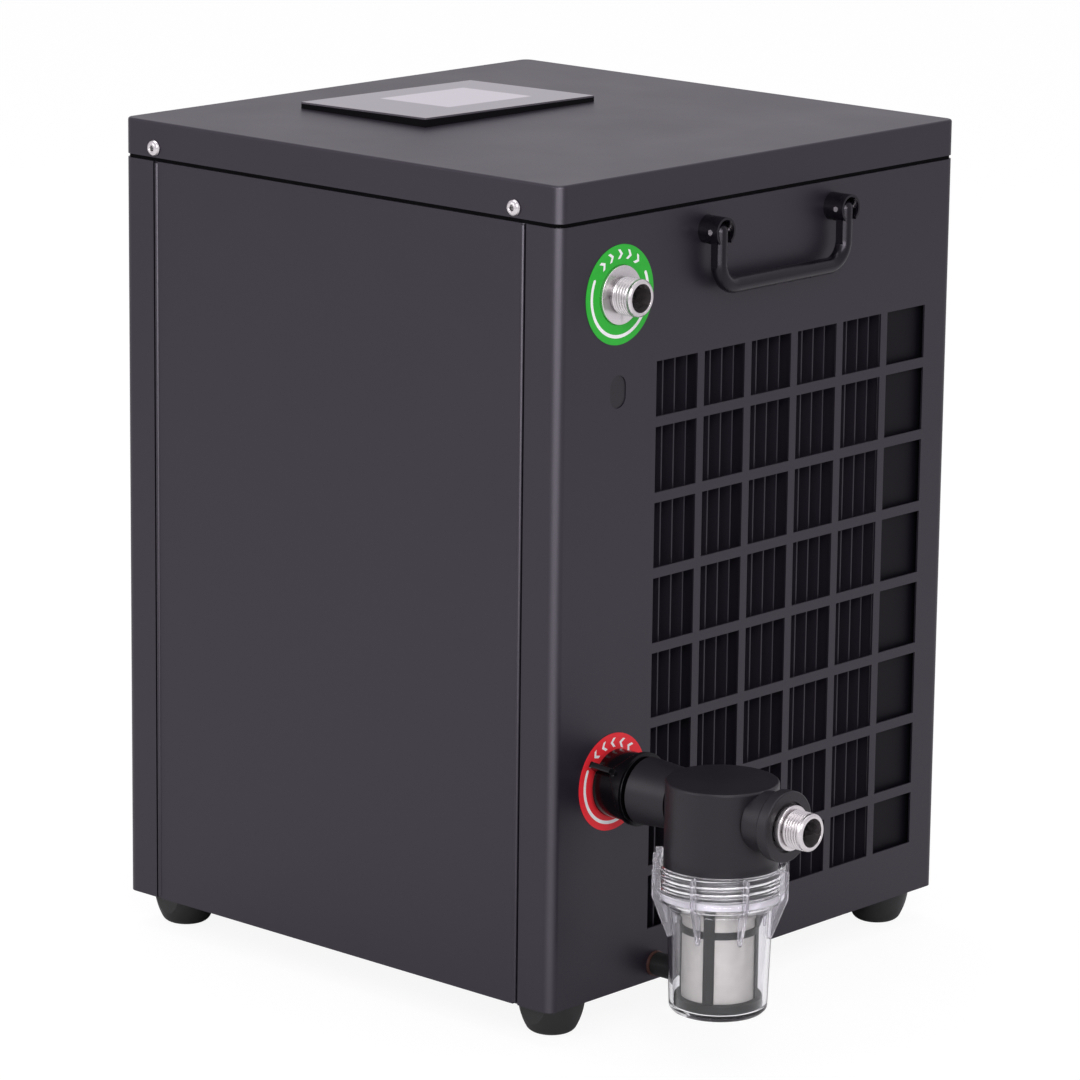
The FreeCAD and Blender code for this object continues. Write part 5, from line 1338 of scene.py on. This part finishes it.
@dataclass
class PanelEdges(Assembly):
    """The side panels' rolled edges, a dark ring of painted shade in the gap under the lid and the
    knockout's blank plate.
    """

    side: float = 0.1695
    seams: tuple[float, float] = (-0.0762, 0.2046)
    low: float = 0.0212
    high: float = 0.4552
    bead: float = 0.0013
    bead_bend: float = 0.0005
    # The ring of painted shade in the gap under the lid.
    gap_shade_half: tuple[float, float] = (0.1691, 0.1661)
    gap_shade_middle: tuple[float, float] = (0.0, 0.0642)
    gap_shade_levels: tuple[float, float] = (0.4560, 0.4579)
    gap_shade_bend: float = 0.0052
    gap_shade_width: float = 0.0006
    plate: Point = (PORT_X, -0.10222, 0.361)
    plate_half: tuple[float, float] = (0.0061, 0.0088)
    plate_gauge: float = 0.0001
    plate_edge: float = 0.00003

    def beads(self) -> bpy.types.Object:
        """Four upright beads, one along each edge of the side panels."""
        height = self.high - self.low
        profile = [
            (0.0, 0.0),
            (self.bead, 0.0, self.bead_bend),
            (self.bead, height, self.bead_bend),
            (0.0, height),
        ]
        surfaces = [
            Form.lathe(Axis((side, seam, self.low), Heading.UP), profile, False, segments=24)
            for side in (-self.side, self.side)
            for seam in self.seams
        ]
        return Form.mesh("side_panel_edges", surfaces, 50.0)

    def gap_shade(self) -> bpy.types.Object:
        """A dark ring in the gap between the lid's skirt and the panels: painted shade for the gap.

        Formula: two rounded rectangles, one inside the other by the ring's width, at two levels.
        """
        loops = []
        for inset in (0.0, self.gap_shade_width):
            x, y = (half - inset for half in self.gap_shade_half)
            bend = self.gap_shade_bend - inset
            corners = [(x, y, bend), (-x, y, bend), (-x, -y, bend), (x, -y, bend)]
            loops.append(Form.rounded(corners, 10, closed=True) + np.asarray(self.gap_shade_middle))
        outer, inner = loops
        low, high = self.gap_shade_levels
        rings = [
            np.column_stack([loop, np.full(len(loop), level)])
            for loop, level in ((outer, low), (outer, high), (inner, high), (inner, low))
        ]
        return Form.mesh("lid_gap_shade", [Surface(np.stack(rings), round_rows=True)])

    def knockout(self) -> bpy.types.Object:
        """The knockout's plate, a slot shape as wide as its round ends.

        Formula: the outline is a circle of the half width, its upper half raised and its lower half
        dropped by the difference of the two half sizes.
        """
        wide, tall = self.plate_half
        angle = np.linspace(0, TURN, 96, endpoint=False)
        rise = wide * np.sin(angle) + np.sign(np.sin(angle)) * (tall - wide)
        outline = np.stack([wide * np.cos(angle), rise], 1)
        across, aloft, _ = Heading.FRONT.value
        plate = Form.slab(self.plate, across, aloft, outline, self.plate_gauge, self.plate_edge)
        return Form.mesh("knockout_plate", [plate])

    def build(self, workshop: Workshop) -> None:
        """Make the trim and dress it."""
        workshop.fit(self.beads(), Finish.POWDER, "cabinet")
        # Painted shade: a dark ring fills the gap under the lid's skirt.
        workshop.fit(self.gap_shade(), Finish.FOAM_AND_GAP_SHADE, "cabinet")
        workshop.fit(self.knockout(), Finish.SATIN, "cabinet")


# The studio


@dataclass(frozen=True)
class Lamp:
    """A soft lamp: where it hangs, the point that it faces, its width and height, its watts."""

    name: str
    place: Point
    target: Point
    size: tuple[float, float]
    power: float

    def hang(self) -> bpy.types.Object:
        """Hang the lamp.

        Returns:
            The lamp's object.
        """
        data = bpy.data.lights.new(self.name, "AREA")
        data.shape = "RECTANGLE"
        data.size, data.size_y = self.size
        data.energy = self.power
        lamp = bpy.data.objects.new(self.name, data)
        turn = (Vector(self.target) - Vector(self.place)).to_track_quat("-Z", "Y")
        lamp.matrix_world = Matrix.Translation(self.place) @ turn.to_matrix().to_4x4()
        bpy.context.scene.collection.objects.link(lamp)
        return lamp


@dataclass
class Studio:
    """The camera, the lamps, the world and the floor."""

    eye: Point = (-2.2023, -1.9223, 0.9351)
    azimuth: float = -47.985
    elevation: float = 13.363
    roll: float = 0.701
    lens: float = 174.473
    sensor: float = 36.0
    farthest: float = 60.0
    surround: Colour = (0.985, 0.945, 1.01)
    ambient: float = 0.61
    mirrored: float = 0.76
    floor_reach: float = 14.0
    floor_level: float = -0.0002
    floor_grey: float = 0.86
    floor_roughness: float = 0.7
    floor_glow: float = 1.06
    glow_share: float = 0.86
    soft_lamps: Sequence[Lamp] = (
        Lamp("key", (-1.9, -2.3, 2.1), (0.0, 0.0, 0.25), (1.1, 1.4), 34.0),
        Lamp("left", (-3.0, 1.2, 1.6), (0.0, 0.0, 0.25), (1.5, 1.8), 22.0),
        Lamp("top", (0.2, 0.4, 3.0), (0.0, 0.0, 0.3), (2.0, 2.0), 26.0),
    )
    edge_lamp: Lamp = Lamp("edge", (-2.75, -2.3, 0.75), (-0.17, -0.1, 0.3), (4.6, 1.45), 215.0)
    edge: bpy.types.Object = field(init=False)

    def camera(self) -> None:
        """Stand the camera where the photograph was taken.

        Formula: the camera looks along (-sin a cos e, cos a cos e, -sin e), turned about that line.
        """
        a, e, tilt = (math.radians(value) for value in (self.azimuth, self.elevation, self.roll))
        back = Vector((math.sin(a) * math.cos(e), -math.cos(a) * math.cos(e), math.sin(e)))
        level = Vector((math.cos(a), math.sin(a), 0.0))
        upright = back.cross(level)
        right = level * math.cos(tilt) + upright * math.sin(tilt)
        above = upright * math.cos(tilt) - level * math.sin(tilt)
        data = bpy.data.cameras.new("camera")
        data.lens = self.lens
        data.sensor_width = self.sensor
        data.sensor_fit = "HORIZONTAL"
        data.clip_end = self.farthest
        camera = bpy.data.objects.new("camera", data)
        turn = Matrix((right, above, back)).transposed().to_4x4()
        camera.matrix_world = Matrix.Translation(self.eye) @ turn
        bpy.context.scene.collection.objects.link(camera)
        bpy.context.scene.camera = camera

    def world(self) -> None:
        """A pale surround: white where it is seen, faintly lilac as light and in mirrors."""
        world = bpy.data.worlds.new("studio")
        world.use_nodes = True
        graph = Graph(world.node_tree)
        background = graph.tree.nodes["Background"].inputs
        seen = graph.seen()
        glossy = graph.add("LightPath").outputs["Is Glossy Ray"]
        strength = graph.ranged(glossy, (0.0, 1.0), (self.ambient, self.mirrored))
        colour = graph.mixed(seen, (*self.surround, 1.0), (1.0, 1.0, 1.0, 1.0))
        graph.feed(background["Color"], colour)
        graph.feed(background["Strength"], graph.math("MAXIMUM", strength, seen))
        bpy.context.scene.world = world

    def floor(self) -> None:
        """A pale floor that shows nearly white and keeps a soft shadow."""
        reach, level = self.floor_reach, self.floor_level
        corners = np.array([[(x, y, level) for x in (-reach, reach)] for y in (-reach, reach)])
        floor = Form.mesh("floor", [Surface(corners, round_columns=False)])
        shader = Shader("floor", (self.floor_grey,) * 3, self.floor_roughness)
        share = shader.math("MULTIPLY", shader.seen(), self.glow_share)
        glow = shader.add("Emission", {"Strength": self.floor_glow}).outputs["Emission"]
        feeds = {"Fac": share, 1: shader.surface.outputs["BSDF"], 2: glow}
        mix = shader.add("MixShader", feeds).outputs["Shader"]
        shader.feed(shader.tree.nodes["Material Output"].inputs["Surface"], mix)
        floor.data.materials.append(shader.material)
        floor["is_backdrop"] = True

    def build(self) -> None:
        """Set up the whole studio."""
        bpy.context.scene.view_settings.view_transform = "Standard"
        self.camera()
        self.world()
        self.floor()
        for lamp in self.soft_lamps:
            lamp.hang()
        self.edge = self.edge_lamp.hang()
        self.edge.visible_diffuse = False

    def draw_edges(self, pieces: Sequence[bpy.types.Object]) -> None:
        """Let the edge lamp draw its reflections on some pieces and light nothing else.

        Args:
            pieces: the objects that it lights.
        """
        lit = bpy.data.collections.new("edge_lit")
        for piece in pieces:
            lit.objects.link(piece)
        self.edge.light_linking.receiver_collection = lit


def main() -> None:
    """Build the chiller's looks and report each piece."""
    logging.basicConfig(level=logging.INFO, format="%(message)s")
    studio = Studio()
    studio.build()
    workshop = Workshop()
    workshop.dress_nodes()
    assemblies: Sequence[Assembly] = (
        WaterPort("outlet", OUTLET_LEVEL, flow=1),
        WaterPort("inlet", INLET_LEVEL, flow=-1),
        InletFilter(),
        UnionNut(),
        LidScrews(),
        PanelEdges(),
    )
    for assembly in assemblies:
        assembly.build(workshop)
    studio.draw_edges(workshop.wearing(EDGE_LIT))


if __name__ == "__main__":
    main()
